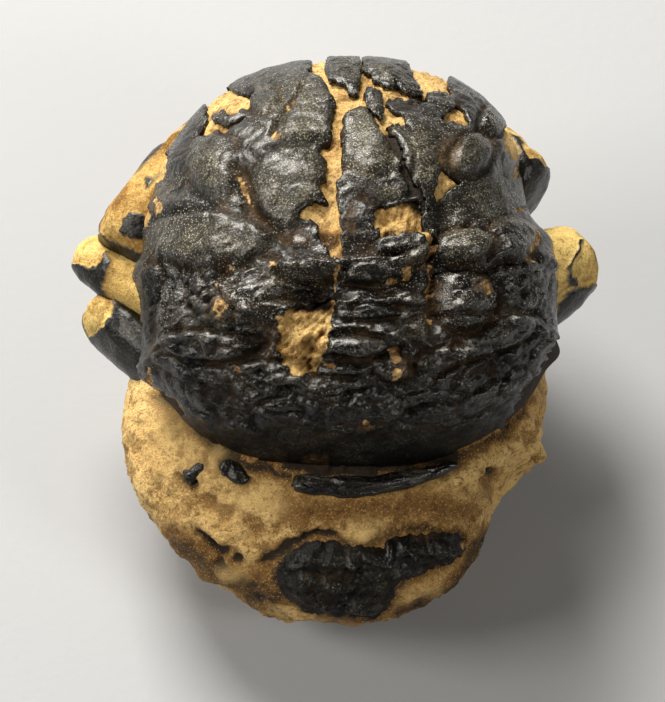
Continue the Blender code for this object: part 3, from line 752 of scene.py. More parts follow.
class CarapaceChart:
    """Where each place of the carapace's sheet shows in the photograph, in pixels. Past the top of
    its outline in the photograph the pixels run on as if the front were unrolled."""

    CELLS = 400

    def __init__(self):
        line = np.linspace(-1.0, 1.0, self.CELLS + 1)
        v, u = np.meshgrid(line, line, indexing="ij")
        self.x, y = project(carapace_surface(u, v)[0])
        middle = self.CELLS // 2
        climb = np.abs(np.diff(y[middle:], axis=0)).cumsum(axis=0)
        y[middle + 1 :] = y[middle] - climb
        self.y = y

    def at(self, u, v):
        column = np.clip((u + 1.0) / 2.0 * self.CELLS, 0, self.CELLS - 1e-6)
        row = np.clip((v + 1.0) / 2.0 * self.CELLS, 0, self.CELLS - 1e-6)
        i, j = row.astype(int), column.astype(int)
        s, t = row - i, column - j
        return tuple(
            (1 - s) * ((1 - t) * a[i, j] + t * a[i, j + 1]) + s * ((1 - t) * a[i + 1, j] + t * a[i + 1, j + 1])
            for a in (self.x, self.y)
        )

    def range_of(self, outline):
        """The ranges of the sheet that an outline in pixels spans."""
        rows, columns = np.nonzero(depth_inside(self.x, self.y, outline) > -3.0)
        ends = [columns.min(), columns.max(), rows.min(), rows.max()]
        low_u, high_u, low_v, high_v = (2.0 * end / self.CELLS - 1.0 for end in ends)
        return (low_u, high_u), (low_v, high_v)


CHART = CarapaceChart()
FRONT_SWAY = 26.0  # pixels
FRONT_SWAY_SIZE = 34.0


def shell_relief(x, y):
    """Height of the shell's plates, lumps, ridges and cracks at places in pixels."""
    x, y = ragged(x, y, 2.2, 11.0, 3.0)
    total = np.zeros(x.shape)
    for height, edge, outline in PLATES.values():
        total += height * smooth(depth_inside(x, y, outline) / edge + 0.5)
    for spec in LUMPS.values():
        total += spec[5] * lump(x, y, spec)
    for spec in BOSSES.values():
        reach = ellipse_reach(x, y, spec)
        furrow = np.exp(-(((reach - FURROW_REACH) / FURROW_WIDTH) ** 2))
        rise = smooth((FURROW_REACH - reach) / BOSS_EDGE)
        total += spec[5] * (rise - FURROW_SHARE * furrow)
    for half_width, height, path in RIDGES.values():
        total += 1.4 * height * np.exp(-((path_distance(x, y, path) / half_width) ** 2))
    return RELIEF_LIMIT * np.tanh(total * MM / RELIEF_LIMIT)


def crumple(points, x, y):
    """Height of the crushed shell's folds and creases, strongest towards the rear."""
    wild = (0.3 + 0.7 * smooth((y - 235.0) / 50.0)) * (1.0 - 0.6 * smooth((y - 425.0) / 25.0))
    long = points * np.array((0.45, 1.0, 1.0))
    total = 0.62 * facets(long, 3.4 * MM) + 0.26 * facets(long, 1.5 * MM, 5.0) - 0.5
    total += 0.55 * grain(long, 3.6 * MM, 3, 8.0) + 0.2 * grain(points, 1.1 * MM, 3)
    return total * wild * MM


def sway(x, y):
    """Moves the lines that run over the crab's hidden front to and fro."""
    hidden = smooth((50.0 - y) / 50.0)
    return x + FRONT_SWAY * hidden * grain(stack(0.0 * y, y, 3.0), FRONT_SWAY_SIZE, 3), y


def break_depth(x, y):
    """Depth in pixels inside the nearest break of the shell, below zero outside them all."""
    x, y = ragged(*sway(x, y), 4.5, 9.0, 9.0)
    return np.max([depth_inside(x, y, outline) for outline in SHELL_BREAKS.values()], axis=0)


def spots(x, y, specs):
    """The strongest of the spots at each place, from 0 to 1."""
    return np.max([smooth(1.6 * lump(x, y, (*spec[:4], spec[4]))) for spec in specs], axis=0)


def shell_values(points, x, y, depth):
    """What the shell's material needs: dust with a painted sheen, less of it at its edges and hollows as painted
    shade, and stone left on it.
    """
    wild_x, wild_y = ragged(x, y, 4.0, 9.0, 5.0)
    crumbs = spots(wild_x, wild_y, CRUMBS.values()) * (1.0 + 1.2 * grain(points, 1.3 * MM, 3))
    rust = 0.38 * spots(wild_x, wild_y, RUST.values())
    dust_and_sheen = np.max([spec[4] * lump(x, y, (*spec[:4], 0)) for spec in DUST_AND_SHEEN.values()], axis=0)
    dust_and_sheen = dust_and_sheen * (1.0 + 0.9 * grain(points, 3.0 * MM, 4)) + 0.25 * grain(points, 5.0 * MM, 4)
    painted_shade = spots(wild_x, wild_y, SHADED_HOLLOWS.values())
    # Less dust and sheen along the breaks' edges and in the hollows: painted shade.
    dust_and_sheen = dust_and_sheen * (0.2 + 0.8 * smooth(depth / 8.0)) * (1.0 - 0.8 * painted_shade)
    return {
        "crumbs": np.maximum(np.clip(crumbs * 2.2 - 0.8, 0.0, 1.0), rust),
        "dust_and_sheen": np.clip(dust_and_sheen, 0.0, 1.0),
        # The granules' pale specks, partly painted glints, fade towards the rear.
        "granules": smooth(0.6 + 1.1 * grain(points, 5.0 * MM, 3, 2.0)) * (0.3 + 0.7 * smooth((350.0 - y) / 60.0))
        * smooth((440.0 - y) / 50.0)
        * (1.0 - 0.7 * painted_shade),
        "gloss": (0.05 + 0.95 * smooth((445.0 - y) / 50.0)) * (1.0 - 0.8 * painted_shade),
    }


def soften(height, steps):
    """A grid's heights, each step the mean of the ones beside."""
    for _ in range(steps):
        edged = np.pad(height, 1, "edge")
        height = (edged[:-2, 1:-1] + edged[2:, 1:-1] + edged[1:-1, :-2] + edged[1:-1, 2:]) / 4.0
    return height


def hollows_and_ridges(height):
    """How far each place of a grid lies below, and over, the ones around it, from 0 to 1."""
    share = (soften(height, HOLLOW_STEPS) - height) / HOLLOW_DEPTH
    return np.clip(share, 0.0, 1.0), np.clip(-share, 0.0, 1.0)


def shell_piece(name, surface_range, cells, field, material, nodes, lift=0.0):
    """A piece of the carapace where the field of its pixels is above zero."""
    u, v, triangles = cut_sheet(None, *surface_range, cells, lambda a, b: field(*CHART.at(a, b)))
    points, out, share = carapace_surface(u, v)
    x, y = CHART.at(u, v)
    calm = 1.0 - share**RIM_POWER
    rough = 0.1 * grain(points, 1.6 * MM, 3) + 0.05 * grain(points, 0.7 * MM, 2)
    values = shell_values(points, x, y, field(x, y))
    height = (shell_relief(x, y) + crumple(points, x, y)) * calm + lift
    height = height + (rough - 0.3 * values["crumbs"]) * MM
    edge = smooth(1.0 - np.clip(field(x, y), 0.0, 3.0) / 3.0)
    height = height - 0.18 * MM * edge
    values["hollow"], values["worn"] = hollows_and_ridges(height)
    height = 0.8 * height + 0.2 * soften(height, 1)
    outer = points + out * height[..., None]
    inner = points + out * (height - SHELL)[..., None]
    vertices, faces, used = close_sheet(outer.reshape(-1, 3), inner.reshape(-1, 3), triangles)
    values = {key: np.tile(number.ravel(), 2)[used] for key, number in values.items()}
    return add_piece(name, vertices, faces, values, material, nodes)


def build_carapace(material):
    shell_piece(
        "carapace", ((-1.0, 1.0), (-1.0, 1.0)), CARAPACE_CELLS,
        lambda x, y: np.minimum(-break_depth(x, y), depth_inside(*ragged(x, y, 4.0, 9.0, 1.0), SHELL_MARGIN)),
        material, ["carapace"],
    )  # fmt: skip
    for name, outline in LOOSE_SHELL.items():
        far = tuple((x, y - 60.0 if y < 50 else y) for x, y in outline)
        shell_piece(
            name, CHART.range_of(far), 90,
            lambda x, y, far=far: depth_inside(*ragged(*sway(x, y), 3.0, 8.0, 2.0), far),
            material, [name], 0.25 * MM,
        )  # fmt: skip


# The stone


def core_mesh():
    """The stone inside the carapace: its skin under the shell, closed by a flat floor."""
    line = np.linspace(-1.0, 1.0, CORE_CELLS + 1)
    v, u = np.meshgrid(line, line, indexing="ij")
    points, out, rim_share = carapace_surface(u, v)
    x, y = CHART.at(u, v)
    bare = smooth(break_depth(x, y) / 4.0 + 0.5)
    rough = 0.45 * grain(points, 2.2 * MM, 4) + 0.25 * grain(points, 0.9 * MM, 2) - 0.1
    height = (shell_relief(x, y) + crumple(points, x, y)) * (1.0 - rim_share**RIM_POWER) - STONE_DEPTH
    height += bare * MM * (rough + core_relief(x, y))
    top = points + out * height[..., None]
    count = CORE_CELLS + 1
    index = np.arange(count * count).reshape(count, count)
    rim = np.concatenate([index[0, :-1], index[:-1, -1], index[-1, :0:-1], index[:0:-1, 0]])
    edge = to_carapace(top.reshape(-1, 3)[rim])
    rings = []
    for step in range(1, SKIRT_RINGS + 1):
        share = step / SKIRT_RINGS
        ring = edge * (1.0 - SKIRT_TAPER * share**1.5, 1.0 - SKIRT_TAPER * share**1.5, 1.0)
        ring[:, 2] = ring[:, 2] - SKIRT_DEPTH * share
        ring = ring * (1.0 + 0.04 * grain(ring, 6.0 * MM, 3)[:, None])
        rings.append(from_carapace(ring) + CARAPACE_FOOT)
    wall = grid_faces(SKIRT_RINGS + 1, len(rim), wrap=True)
    places = np.append(rim, count * count + np.arange(SKIRT_RINGS * len(rim)))
    last = places[-len(rim) :]
    centre = np.full(len(rim), places[-1] + 1)
    quads = np.concatenate([grid_faces(count, count), places[wall][:, ::-1]])
    faces = np.concatenate([
        quads[:, (0, 1, 2)], quads[:, (0, 2, 3)], np.stack((last, centre, np.roll(last, -1)), -1),
    ])  # fmt: skip
    bottom = rings[-1].mean(axis=0, keepdims=True)
    vertices = np.concatenate([top.reshape(-1, 3), *rings, bottom])
    values = core_values(points, x, y)
    # Painted shade where the stone meets the shell's rear margin.
    rearward = smooth((4.0 * MM - to_carapace(points)[..., 1]) / (8.0 * MM))
    values["stain_and_shade"] = np.maximum(values["stain_and_shade"], rearward * smooth((rim_share - 0.9) / 0.05))
    values = {key: number.ravel() for key, number in values.items()}
    more = np.append(np.tile(rim, SKIRT_RINGS), 0)
    return vertices, faces, {key: np.append(numbers, numbers[more]) for key, numbers in values.items()}


CORE_LUMPS = {
    "cardiac_hollow": (308, 304, 26, 10, 0, -1.2),
    "cardiac_swell": (300, 345, 16, 18, 0, 0.3),
    "stem_groove": (326, 118, 3, 60, 0, -0.4),
    "gastric_hollow": (388, 216, 10, 5, 0, -0.6),
    "brown_hollow": (322, 236, 14, 10, 0, -0.4),
    "front_hollow": (438, 94, 18, 9, 10, -1.4),
    "left_hollow": (228, 112, 14, 8, 0, -1.2),
}
CORE_FIBRES = {  # centre and half-axes in pixels, lean, height in mm
    "cardiac_fibres": (302, 340, 40, 46, 0.8, 0.8),
    "gastric_fibres": (402, 220, 40, 28, 0.1, 1.0),
}
# Dark places on the stone inside the carapace: brown stains, and painted shade in its hollows, cracks and the gap
# behind the shell's rear margin; centre and half-axes in pixels, turn in degrees, darkness
CORE_STAIN_AND_SHADE = {
    "crack_upper": (395, 144, 9, 20, -25, 1.4),
    "crack_lower": (412, 184, 11, 28, -28, 1.4),
    "cardiac_brown": (300, 356, 16, 20, 0, 0.4),
    "cardiac_shadow": (308, 304, 28, 9, 0, 1.0),
    "gastric_brown": (322, 238, 18, 12, 0, 0.7),
    "strip_brown": (434, 248, 8, 12, 0, 0.6),
    "front_dark": (438, 95, 20, 9, 10, 1.4),
    "rear_rim": (370, 468, 150, 12, 0, 1.3),
    "left_dark": (228, 112, 15, 7, 0, 1.0),
}


def core_relief(x, y):
    total = sum(spec[5] * lump(x, y, spec) for spec in CORE_LUMPS.values())
    for centre_x, centre_y, half_x, half_y, lean, height in CORE_FIBRES.values():
        across, along = x + lean * y, (y - lean * x) / 5.0
        fibres = grain(stack(across, along, 0.0), 6.0, 2)
        total = total + height * fibres * (ellipse_reach(x, y, (centre_x, centre_y, half_x, half_y, 0)) < 1.0)
    return total


def core_values(points, x, y):
    """What the stone's material needs, inside the carapace."""
    darkening = np.max([spec[5] * smooth(1.6 * lump(x, y, spec)) for spec in CORE_STAIN_AND_SHADE.values()], axis=0)
    return {"stain_and_shade": np.clip(darkening + 0.2 * grain(points, 2.0 * MM, 3), 0.0, 1.0), "pale_and_lit": 0.0 * darkening}


def stone_radius(direction):
    """Distance from the stone's centre to its skin: a smooth union of its lobes, with knobs."""
    total = 0.0
    for centre, axes in STONE_LOBES:
        offset = (STONE_CENTRE / MM - np.array(centre)) / np.array(axes)
        d = direction / np.array(axes)
        a, b, c = (d * d).sum(-1), (d * offset).sum(-1), (offset * offset).sum() - 1.0
        reach = (-b + np.sqrt(np.maximum(0.0, b * b - a * c))) / a
        total = total + np.maximum(reach, NEAREST_SKIN) ** LOBE_BLEND
    radius = total ** (1.0 / LOBE_BLEND) * MM
    skin = STONE_CENTRE + direction * radius[..., None]
    for spot, half_width, height in STONE_KNOBS:
        away = np.linalg.norm(skin - np.array(spot) * MM, axis=-1) / (half_width * MM)
        radius = radius + height * MM * np.exp(-away * away)
    return radius + STONE_ROUGHNESS * grain(skin, STONE_ROUGHNESS_SIZE)


def stone_surface(direction):
    """The skin of the ball of stone, with the photograph's dents and lumps."""
    whole = stone_radius(direction)
    radius = tuck_under_shell(direction, whole)
    tucked = smooth((whole - radius) / (0.8 * MM))
    points = STONE_CENTRE + direction * radius[..., None]
    x, y = project(points)
    seen = smooth(4.0 * facing(points, direction))
    wild_x, wild_y = ragged(x, y, 3.0, 14.0, 7.0)
    height = sum(spec[5] * lump(wild_x, wild_y, spec) for spec in STONE_LUMPS.values())
    stain_and_shade = np.zeros(x.shape)
    for half_width, dark, hollow, path in STAINS_AND_SHADE.values():
        near = np.exp(-((path_distance(wild_x, wild_y, path) / half_width) ** 2))
        height = height + hollow * near
        stain_and_shade = np.maximum(stain_and_shade, dark * near)
    pale_and_lit = np.max([spec[4] * lump(x, y, (*spec[:4], 0)) for spec in PALE_AND_LIT_STONE.values()], axis=0)
    rough = 0.9 * grain(points, 8.0 * MM, 4) + 0.45 * grain(points, 2.4 * MM, 4)
    pits = np.maximum(0.0, grain(points, 1.9 * MM, 1, 11.0) - 0.3) * -1.6
    sunk = np.clip(-0.7 * (height * seen + rough + pits), 0.0, 0.5)
    radius = tuck_under_shell(direction, radius + (height * seen + rough + pits - 0.2) * MM)
    # Darker where the stone sinks in, and painted shade where it tucks under the shell's margin.
    stain_and_shade = np.max([stain_and_shade * seen, sunk, 0.9 * tucked], axis=0)
    return radius, {"stain_and_shade": stain_and_shade, "pale_and_lit": pale_and_lit * seen * (1.0 - tucked)}


def tuck_under_shell(direction, radius):
    """Draws the stone in where it would stand out of the carapace."""
    radius = radius.copy()
    out = np.ones(radius.shape, bool)
    for _ in range(130):
        plan = to_carapace(STONE_CENTRE + direction[out] * radius[out][:, None])
        angle = np.arctan2(plan[:, 1], plan[:, 0])
        share = np.hypot(plan[:, 0], plan[:, 1]) / margin_radius(angle)
        roof = dome_height(np.minimum(share, 1.0), angle) - 2.0 * MM
        out[out] = (plan[:, 2] > np.maximum(roof, -0.6 * MM)) & (share < 1.03)
        radius[out] *= 0.9965
    return radius


def ball_mesh():
    """The ball of stone, from a cube's grid, with its underside cut flat."""
    line = np.tan(np.linspace(-1.0, 1.0, STONE_CELLS + 1) * math.pi / 4)
    b, a = np.meshgrid(line, line, indexing="ij")
    one = np.ones_like(a)
    sides = [(one, a, b), (-one, -a, b), (-a, one, b), (a, -one, b), (a, b, one), (a, -b, -one)]
    direction = unit(np.concatenate([stack(*side).reshape(-1, 3) for side in sides]))
    direction = unit(direction + STONE_BIAS * unit(STONE_BEST_SIDE))
    quads = np.concatenate([grid_faces(STONE_CELLS + 1, STONE_CELLS + 1) + k * one.size for k in range(6)])
    _, first, back = np.unique(np.round(direction, 6), axis=0, return_index=True, return_inverse=True)
    direction = direction[first]
    quads = back.reshape(-1)[quads]
    radius, values = stone_surface(direction)
    points = STONE_CENTRE + direction * radius[:, None]
    points[:, 2] = np.maximum(points[:, 2], 0.0)
    return points, np.concatenate([quads[:, (0, 1, 2)], quads[:, (0, 2, 3)]]), values


def build_stone(material):
    core, core_faces, core_numbers = core_mesh()
    ball, ball_faces, ball_numbers = ball_mesh()
    values = {key: np.concatenate([ball_numbers[key], core_numbers[key]]) for key in ball_numbers}
    faces = np.concatenate([ball_faces, core_faces + len(ball)])
    add_piece("matrix", np.concatenate([ball, core]), faces, values, material, ["matrix"])


# The stumps, splinters and tail


def barrel(name, root, tip, half_width, half_height, tip_share, bow, material, slot):
    """A rounded bar from root to tip, tapered, bowed and rough."""
    root, tip, bow = (np.array(spot) * MM for spot in (root, tip, bow))
    along = unit(tip - root)
    side = unit(np.cross((0.0, 0.0, 1.0), along))
    up = np.cross(along, side)
    half_length = np.linalg.norm(tip - root) / 2.0
    polar = np.linspace(0.0, math.pi, BARREL_ALONG + 1)[1:-1]
    bearing = np.linspace(0.0, 2.0 * math.pi, BARREL_AROUND, endpoint=False)
    polar, around = np.meshgrid(polar, bearing, indexing="ij")
    polar, around = np.append(polar.ravel(), (0.0, math.pi)), np.append(around.ravel(), (0.0, 0.0))
    height = np.cos(polar)
    reach = np.sign(height) * np.abs(height) ** (2.0 / BARREL_POWER)
    girth = np.abs(np.sin(polar)) ** (2.0 / BARREL_POWER)
    girth *= 1.0 + (tip_share - 1.0) * (reach + 1.0) / 2.0
    middle = (root + tip) / 2.0 + np.outer(half_length * reach, along) + np.outer(1.0 - reach**2, bow)
    spread = np.outer(girth * half_width * MM * np.cos(around), side)
    spread += np.outer(girth * half_height * MM * np.sin(around), up)
    swell = 1.0 + BARREL_ROUGHNESS * grain(middle + spread, BARREL_ROUGHNESS_SIZE) / (half_width * MM)
    points = middle + spread * swell[:, None]
    out = unit(spread + np.outer(half_width * MM * np.sign(reach) * np.abs(reach) ** 6, along) + 1e-9)
    x, y = project(points)
    small = min(1.0, half_width / 4.0)
    rough = small * (0.4 * grain(points, 5.0 * MM, 2) + 0.07 * grain(points, 1.2 * MM, 3))
    wild_x, wild_y = ragged(x, y, 3.0, 9.0, 4.0)
    black = np.ones(len(points))
    if name in LIMBS:
        # Black where shell is left and where shadow is painted under the stumps, and on undersides that face down
        # and away.
        depth = np.max([depth_inside(wild_x, wild_y, outline) for outline in LIMB_BLACK_AND_SHADOW[name]], axis=0)
        black = smooth(depth / 2.0 + 0.5)
        hidden = smooth(-6.0 * facing(points, out) - 0.2)
        under = smooth(0.5 - 5.0 * (out[:, 2] + 0.25) + 4.0 * grain(points, 7.0 * MM, 3, 4.0))
        black = np.maximum(black, hidden * under)
        rough = rough + 0.3 * black
    else:
        rough = rough + 0.22 * facets(points * np.array((0.35, 1.0, 1.0)), 1.8 * MM) - 0.1
    points = points + out * (rough * MM)[:, None]
    last = len(points) - 2
    quads = grid_faces(BARREL_ALONG - 1, BARREL_AROUND, wrap=True)
    ring = np.arange(BARREL_AROUND)
    after = np.roll(ring, -1)
    tail = last - BARREL_AROUND
    faces = np.concatenate([
        quads[:, (0, 1, 2)], quads[:, (0, 2, 3)],
        np.stack((np.full(BARREL_AROUND, last), after, ring), -1),
        np.stack((np.full(BARREL_AROUND, last + 1), tail + ring, tail + after), -1),
    ])  # fmt: skip
    stain_and_shade = LIMB_SHADE.get(name, 0.0) + 0.3 * smooth(2.0 * grain(points, 5.0 * MM, 3))
    values = {"black": black, "stain_and_shade": stain_and_shade}
    values["dust_and_sheen"] = 0.25 * smooth(3.0 * grain(points, 3.0 * MM, 3))
    values |= {"gloss": np.ones(len(points)), "granules": 0.1 * black}
    return add_piece(name, points, faces, values, material, [name])


def tail_surface(u, v):
    """The skin of the stone where the tail's plates lie, and the ways out of it."""
    bearing = TAIL_BEARING + TAIL_HALF_ANGLES[0] * u
    elevation = TAIL_ELEVATION + TAIL_HALF_ANGLES[1] * v
    level = np.cos(elevation)
    direction = stack(level * np.cos(bearing), level * np.sin(bearing), np.sin(elevation))
    radius = stone_surface(direction)[0]
    return STONE_CENTRE + direction * radius[..., None], direction


def build_tail(material):
    def field(u, v):
        x, y = project(tail_surface(u, v)[0])
        return depth_inside(*ragged(x, y, 4.5, 10.0, 6.0), TAIL_OUTLINE)

    span = (-1.25, 1.25)
    u, v, triangles = cut_sheet(None, span, span, TAIL_CELLS, field)
    points, out = tail_surface(u, v)
    x, y = project(points)
    wild_x, wild_y = ragged(x, y, 3.0, 10.0, 8.0)
    height = 1.3 * sum(spec[5] * lump(wild_x, wild_y, spec) for spec in TAIL_LUMPS.values())
    height = height + 0.55 * facets(points * np.array((0.5, 1.0, 1.0)), 2.8 * MM)
    height = height + 0.4 * grain(points, 2.5 * MM, 3, 4.0)
    height = height - 0.5 * smooth(1.0 - field(u, v) / 6.0)
    height = np.where(height < 0.3, 0.3 * np.exp(height - 0.3), height) * MM
    sunk, worn = hollows_and_ridges(height)
    height = 0.7 * height + 0.3 * soften(height, 1)
    outer, inner = points + out * height[..., None], points - out * TAIL_THICKNESS
    vertices, faces, used = close_sheet(outer.reshape(-1, 3), inner.reshape(-1, 3), triangles)
    values = {
        "crumbs": 0.6 * smooth(2.5 * grain(points, 3.0 * MM, 4, 3.0) - 1.2),
        "dust_and_sheen": 0.15 * smooth(3.0 * grain(points, 3.0 * MM, 3)),
        "granules": np.full(x.shape, 0.04),
        "gloss": 0.25 + 0.75 * lump(x, y, (380, 552, 28, 18, 0)),
        "hollow": sunk,
        "worn": worn,
    }
    values = {key: np.tile(number.ravel(), 2)[used] for key, number in values.items()}
    add_piece("tail_plates", vertices, faces, values, material, ["tail_plates"])


# Materials


class Nodes:
    """A material's node tree, with a short way to add nodes to it."""

    def __init__(self, name):
        self.material = bpy.data.materials.new(name)
        self.material.use_nodes = True
        self.tree = self.material.node_tree
        self.surface = self.tree.nodes["Principled BSDF"]
        self.place = self.add("ShaderNodeTexCoord").outputs["Object"]

    def add(self, kind, settings=(), **inputs):
        node = self.tree.nodes.new(kind)
        for key, value in dict(settings).items():
            setattr(node, key, value)
        for key, value in inputs.items():
            self.put(value, node.inputs[int(key[1:])] if key[0] == "i" and key[1:].isdigit() else node.inputs[key])
        return node

    def put(self, value, socket):
        if isinstance(value, bpy.types.NodeSocket):
            self.tree.links.new(value, socket)
        else:
            socket.default_value = value

    def value(self, name):
        return self.add("ShaderNodeAttribute", {"attribute_name": name}).outputs["Fac"]

    def noise(self, size, detail=4.0, roughness=0.55):
        """Noise with features of about the size, in metres."""
        return self.add(
            "ShaderNodeTexNoise", Vector=self.place, Scale=1.0 / size, Detail=detail, Roughness=roughness
        ).outputs["Fac"]

    def cells(self, size, feature="F1"):
        return self.add(
            "ShaderNodeTexVoronoi", {"feature": feature}, Vector=self.place, Scale=1.0 / size
        ).outputs["Distance"]

    def maths(self, operation, a, b=0.0, c=0.0):
        return self.add("ShaderNodeMath", {"operation": operation}, i0=a, i1=b, i2=c).outputs[0]

    def ramp(self, value, low, high):
        """Eases from 0 to 1 as the value goes from low to high."""
        return self.add(
            "ShaderNodeMapRange", {"interpolation_type": "SMOOTHSTEP"}, i0=value, i1=low, i2=high
        ).outputs[0]

    def mix(self, share, a, b):
        """From colour a to colour b."""
        node = self.tree.nodes.new("ShaderNodeMix")
        node.data_type = "RGBA"
        self.put(share, node.inputs[0])
        self.put(a, node.inputs[6])
        self.put(b, node.inputs[7])
        return node.outputs[2]

    def bump(self, height, distance, strength=1.0, normal=None):
        node = self.add("ShaderNodeBump", Height=height, Distance=distance, Strength=strength)
        if normal:
            self.put(normal, node.inputs["Normal"])
        return node.outputs["Normal"]

    def shade(self, colour, roughness, normal):
        self.put(colour, self.surface.inputs["Base Color"])
        self.put(roughness, self.surface.inputs["Roughness"])
        self.put(normal, self.surface.inputs["Normal"])
        return self.material


def colour(red, green, blue):
    return (red, green, blue, 1.0)


SHELL_BLACK = colour(0.0018, 0.0016, 0.0014)
SHELL_BROWN = colour(0.006, 0.0046, 0.0030)
SHELL_CREASE = colour(0.026, 0.015, 0.007)
# Grey of dust, and of a painted sheen on the upper plates
SHELL_DUST_AND_SHEEN = colour(0.042, 0.039, 0.029)
SHELL_POWDER = colour(0.22, 0.20, 0.14)
SHELL_SPECULAR = 0.09
SHELL_SCRATCH = colour(0.17, 0.145, 0.10)
# Pale granules, partly painted glints
SHELL_SPECK_AND_GLINT = colour(0.40, 0.37, 0.29)
STONE_PALE = colour(0.72, 0.50, 0.20)
STONE_TAN = colour(0.50, 0.31, 0.105)
STONE_BROWN = colour(0.19, 0.092, 0.021)
STONE_RUST = colour(0.066, 0.038, 0.016)
CRUMB_TAN = colour(0.50, 0.34, 0.15)
CRUMB_BROWN = colour(0.16, 0.085, 0.032)
STONE_DARK = colour(0.020, 0.012, 0.006)
LIMB_PALE = colour(0.66, 0.48, 0.17)
LIMB_TAN = colour(0.50, 0.32, 0.10)


def shell_look(nodes):
    """Colour, roughness and relief of the black shell, with its dust and painted sheen, granules with painted
    glints, and stone crumbs.
    """
    fine = nodes.noise(0.9 * MM, 6.0, 0.65)
    broad = nodes.noise(6.0 * MM, 5.0)
    granule = nodes.ramp(nodes.cells(0.42 * MM), 0.33, 0.14)
    granular = nodes.maths("MULTIPLY", granule, nodes.value("granules"))
    dust_and_sheen = nodes.maths("MULTIPLY", nodes.value("dust_and_sheen"), nodes.ramp(fine, 0.30, 0.62))
    base = nodes.mix(nodes.ramp(broad, 0.45, 0.75), SHELL_BLACK, SHELL_BROWN)
    # Dust, with a painted grey sheen, greys the upper plates.
    base = nodes.mix(dust_and_sheen, base, SHELL_DUST_AND_SHEEN)
    hollow = nodes.value("hollow")
    base = nodes.mix(nodes.maths("MULTIPLY", hollow, nodes.ramp(broad, 0.4, 0.6)), base, SHELL_CREASE)
    powder = nodes.maths("MULTIPLY", nodes.ramp(nodes.noise(0.28 * MM, 2.0), 0.5, 0.66), nodes.value("dust_and_sheen"))
    base = nodes.mix(powder, base, SHELL_POWDER)
    scratch = nodes.ramp(nodes.noise(0.3 * MM, 4.0, 0.75), 0.57, 0.64)
    base = nodes.mix(nodes.maths("MULTIPLY", scratch, nodes.value("worn")), base, SHELL_SCRATCH)
    # Pale specks on the granules: pale grains, and painted glints.
    base = nodes.mix(nodes.maths("MULTIPLY", granular, 0.75), base, SHELL_SPECK_AND_GLINT)
    uneven = nodes.maths("MULTIPLY_ADD", nodes.noise(0.8 * MM, 5.0, 0.7), 0.8, nodes.value("crumbs"))
    base = nodes.mix(nodes.ramp(uneven, 0.6, 1.0), base, STONE_RUST)
    crumbs = nodes.ramp(uneven, 0.85, 1.1)
    tan = nodes.mix(nodes.ramp(fine, 0.4, 0.62), CRUMB_BROWN, CRUMB_TAN)
    base = nodes.mix(crumbs, base, tan)
    gloss = nodes.ramp(nodes.noise(2.0 * MM, 4.0), 0.3, 0.7)
    rough = nodes.maths("MULTIPLY_ADD", gloss, 0.2, 0.34)
    rough = nodes.maths("MULTIPLY_ADD", dust_and_sheen, 0.2, rough)
    bare = nodes.maths("SUBTRACT", 1.0, nodes.maths("MAXIMUM", crumbs, dust_and_sheen))
    shine = nodes.maths("MULTIPLY", nodes.value("gloss"), nodes.maths("SUBTRACT", 1.0, hollow))
    bare = nodes.maths("MULTIPLY", bare, shine)
    nodes.put(nodes.maths("MULTIPLY", bare, 0.75), nodes.surface.inputs["Coat Weight"])
    nodes.put(SHELL_SPECULAR, nodes.surface.inputs["Specular IOR Level"])
    nodes.put(0.12, nodes.surface.inputs["Coat Roughness"])
    nodes.put(nodes.bump(fine, 0.16 * MM), nodes.surface.inputs["Coat Normal"])
    rough = nodes.maths("MAXIMUM", rough, crumbs)
    relief = nodes.maths("MULTIPLY_ADD", granular, 0.3, fine)
    relief = nodes.maths("MULTIPLY_ADD", nodes.noise(0.35 * MM, 3.0), 0.35, relief)
    return base, rough, nodes.bump(relief, 0.32 * MM)


def stone_look(nodes, pale, tan, dirt, rise):
    """Colour and relief of the sandy stone, with its stains and painted shade, for a share of dirt and a relief."""
    fine = nodes.noise(0.7 * MM, 6.0, 0.7)
    broad = nodes.noise(9.0 * MM, 5.0)
    middle = nodes.noise(2.5 * MM, 5.0)
    base = nodes.mix(nodes.ramp(broad, 0.35, 0.65), tan, pale)
    base = nodes.mix(nodes.maths("MULTIPLY", nodes.ramp(middle, 0.5, 0.64), dirt), base, STONE_BROWN)
    base = nodes.mix(nodes.maths("MULTIPLY", nodes.ramp(fine, 0.5, 0.64), dirt), base, STONE_BROWN)
    sand = nodes.noise(0.28 * MM, 3.0, 0.7)
    # Stains and painted shade darken the stone to brown and black.
    uneven = nodes.maths("MULTIPLY_ADD", nodes.noise(1.2 * MM, 6.0, 0.7), 0.8, nodes.value("stain_and_shade"))
    base = nodes.mix(nodes.ramp(uneven, 0.45, 1.0), base, STONE_BROWN)
    base = nodes.mix(nodes.ramp(uneven, 0.9, 1.3), base, STONE_DARK)
    base = nodes.mix(nodes.maths("MULTIPLY", nodes.ramp(sand, 0.56, 0.66), 0.55), base, pale)
    base = nodes.mix(nodes.maths("MULTIPLY", nodes.ramp(sand, 0.46, 0.36), 0.6), base, STONE_RUST)
    base = nodes.mix(nodes.ramp(nodes.value("stain_and_shade"), 0.7, 0.95), base, STONE_DARK)
    relief = nodes.maths("MULTIPLY_ADD", sand, 0.4, nodes.maths("MULTIPLY_ADD", middle, 0.8, fine))
    return base, nodes.bump(relief, rise)


def shell_material():
    nodes = Nodes("black shell")
    return nodes.shade(*shell_look(nodes))


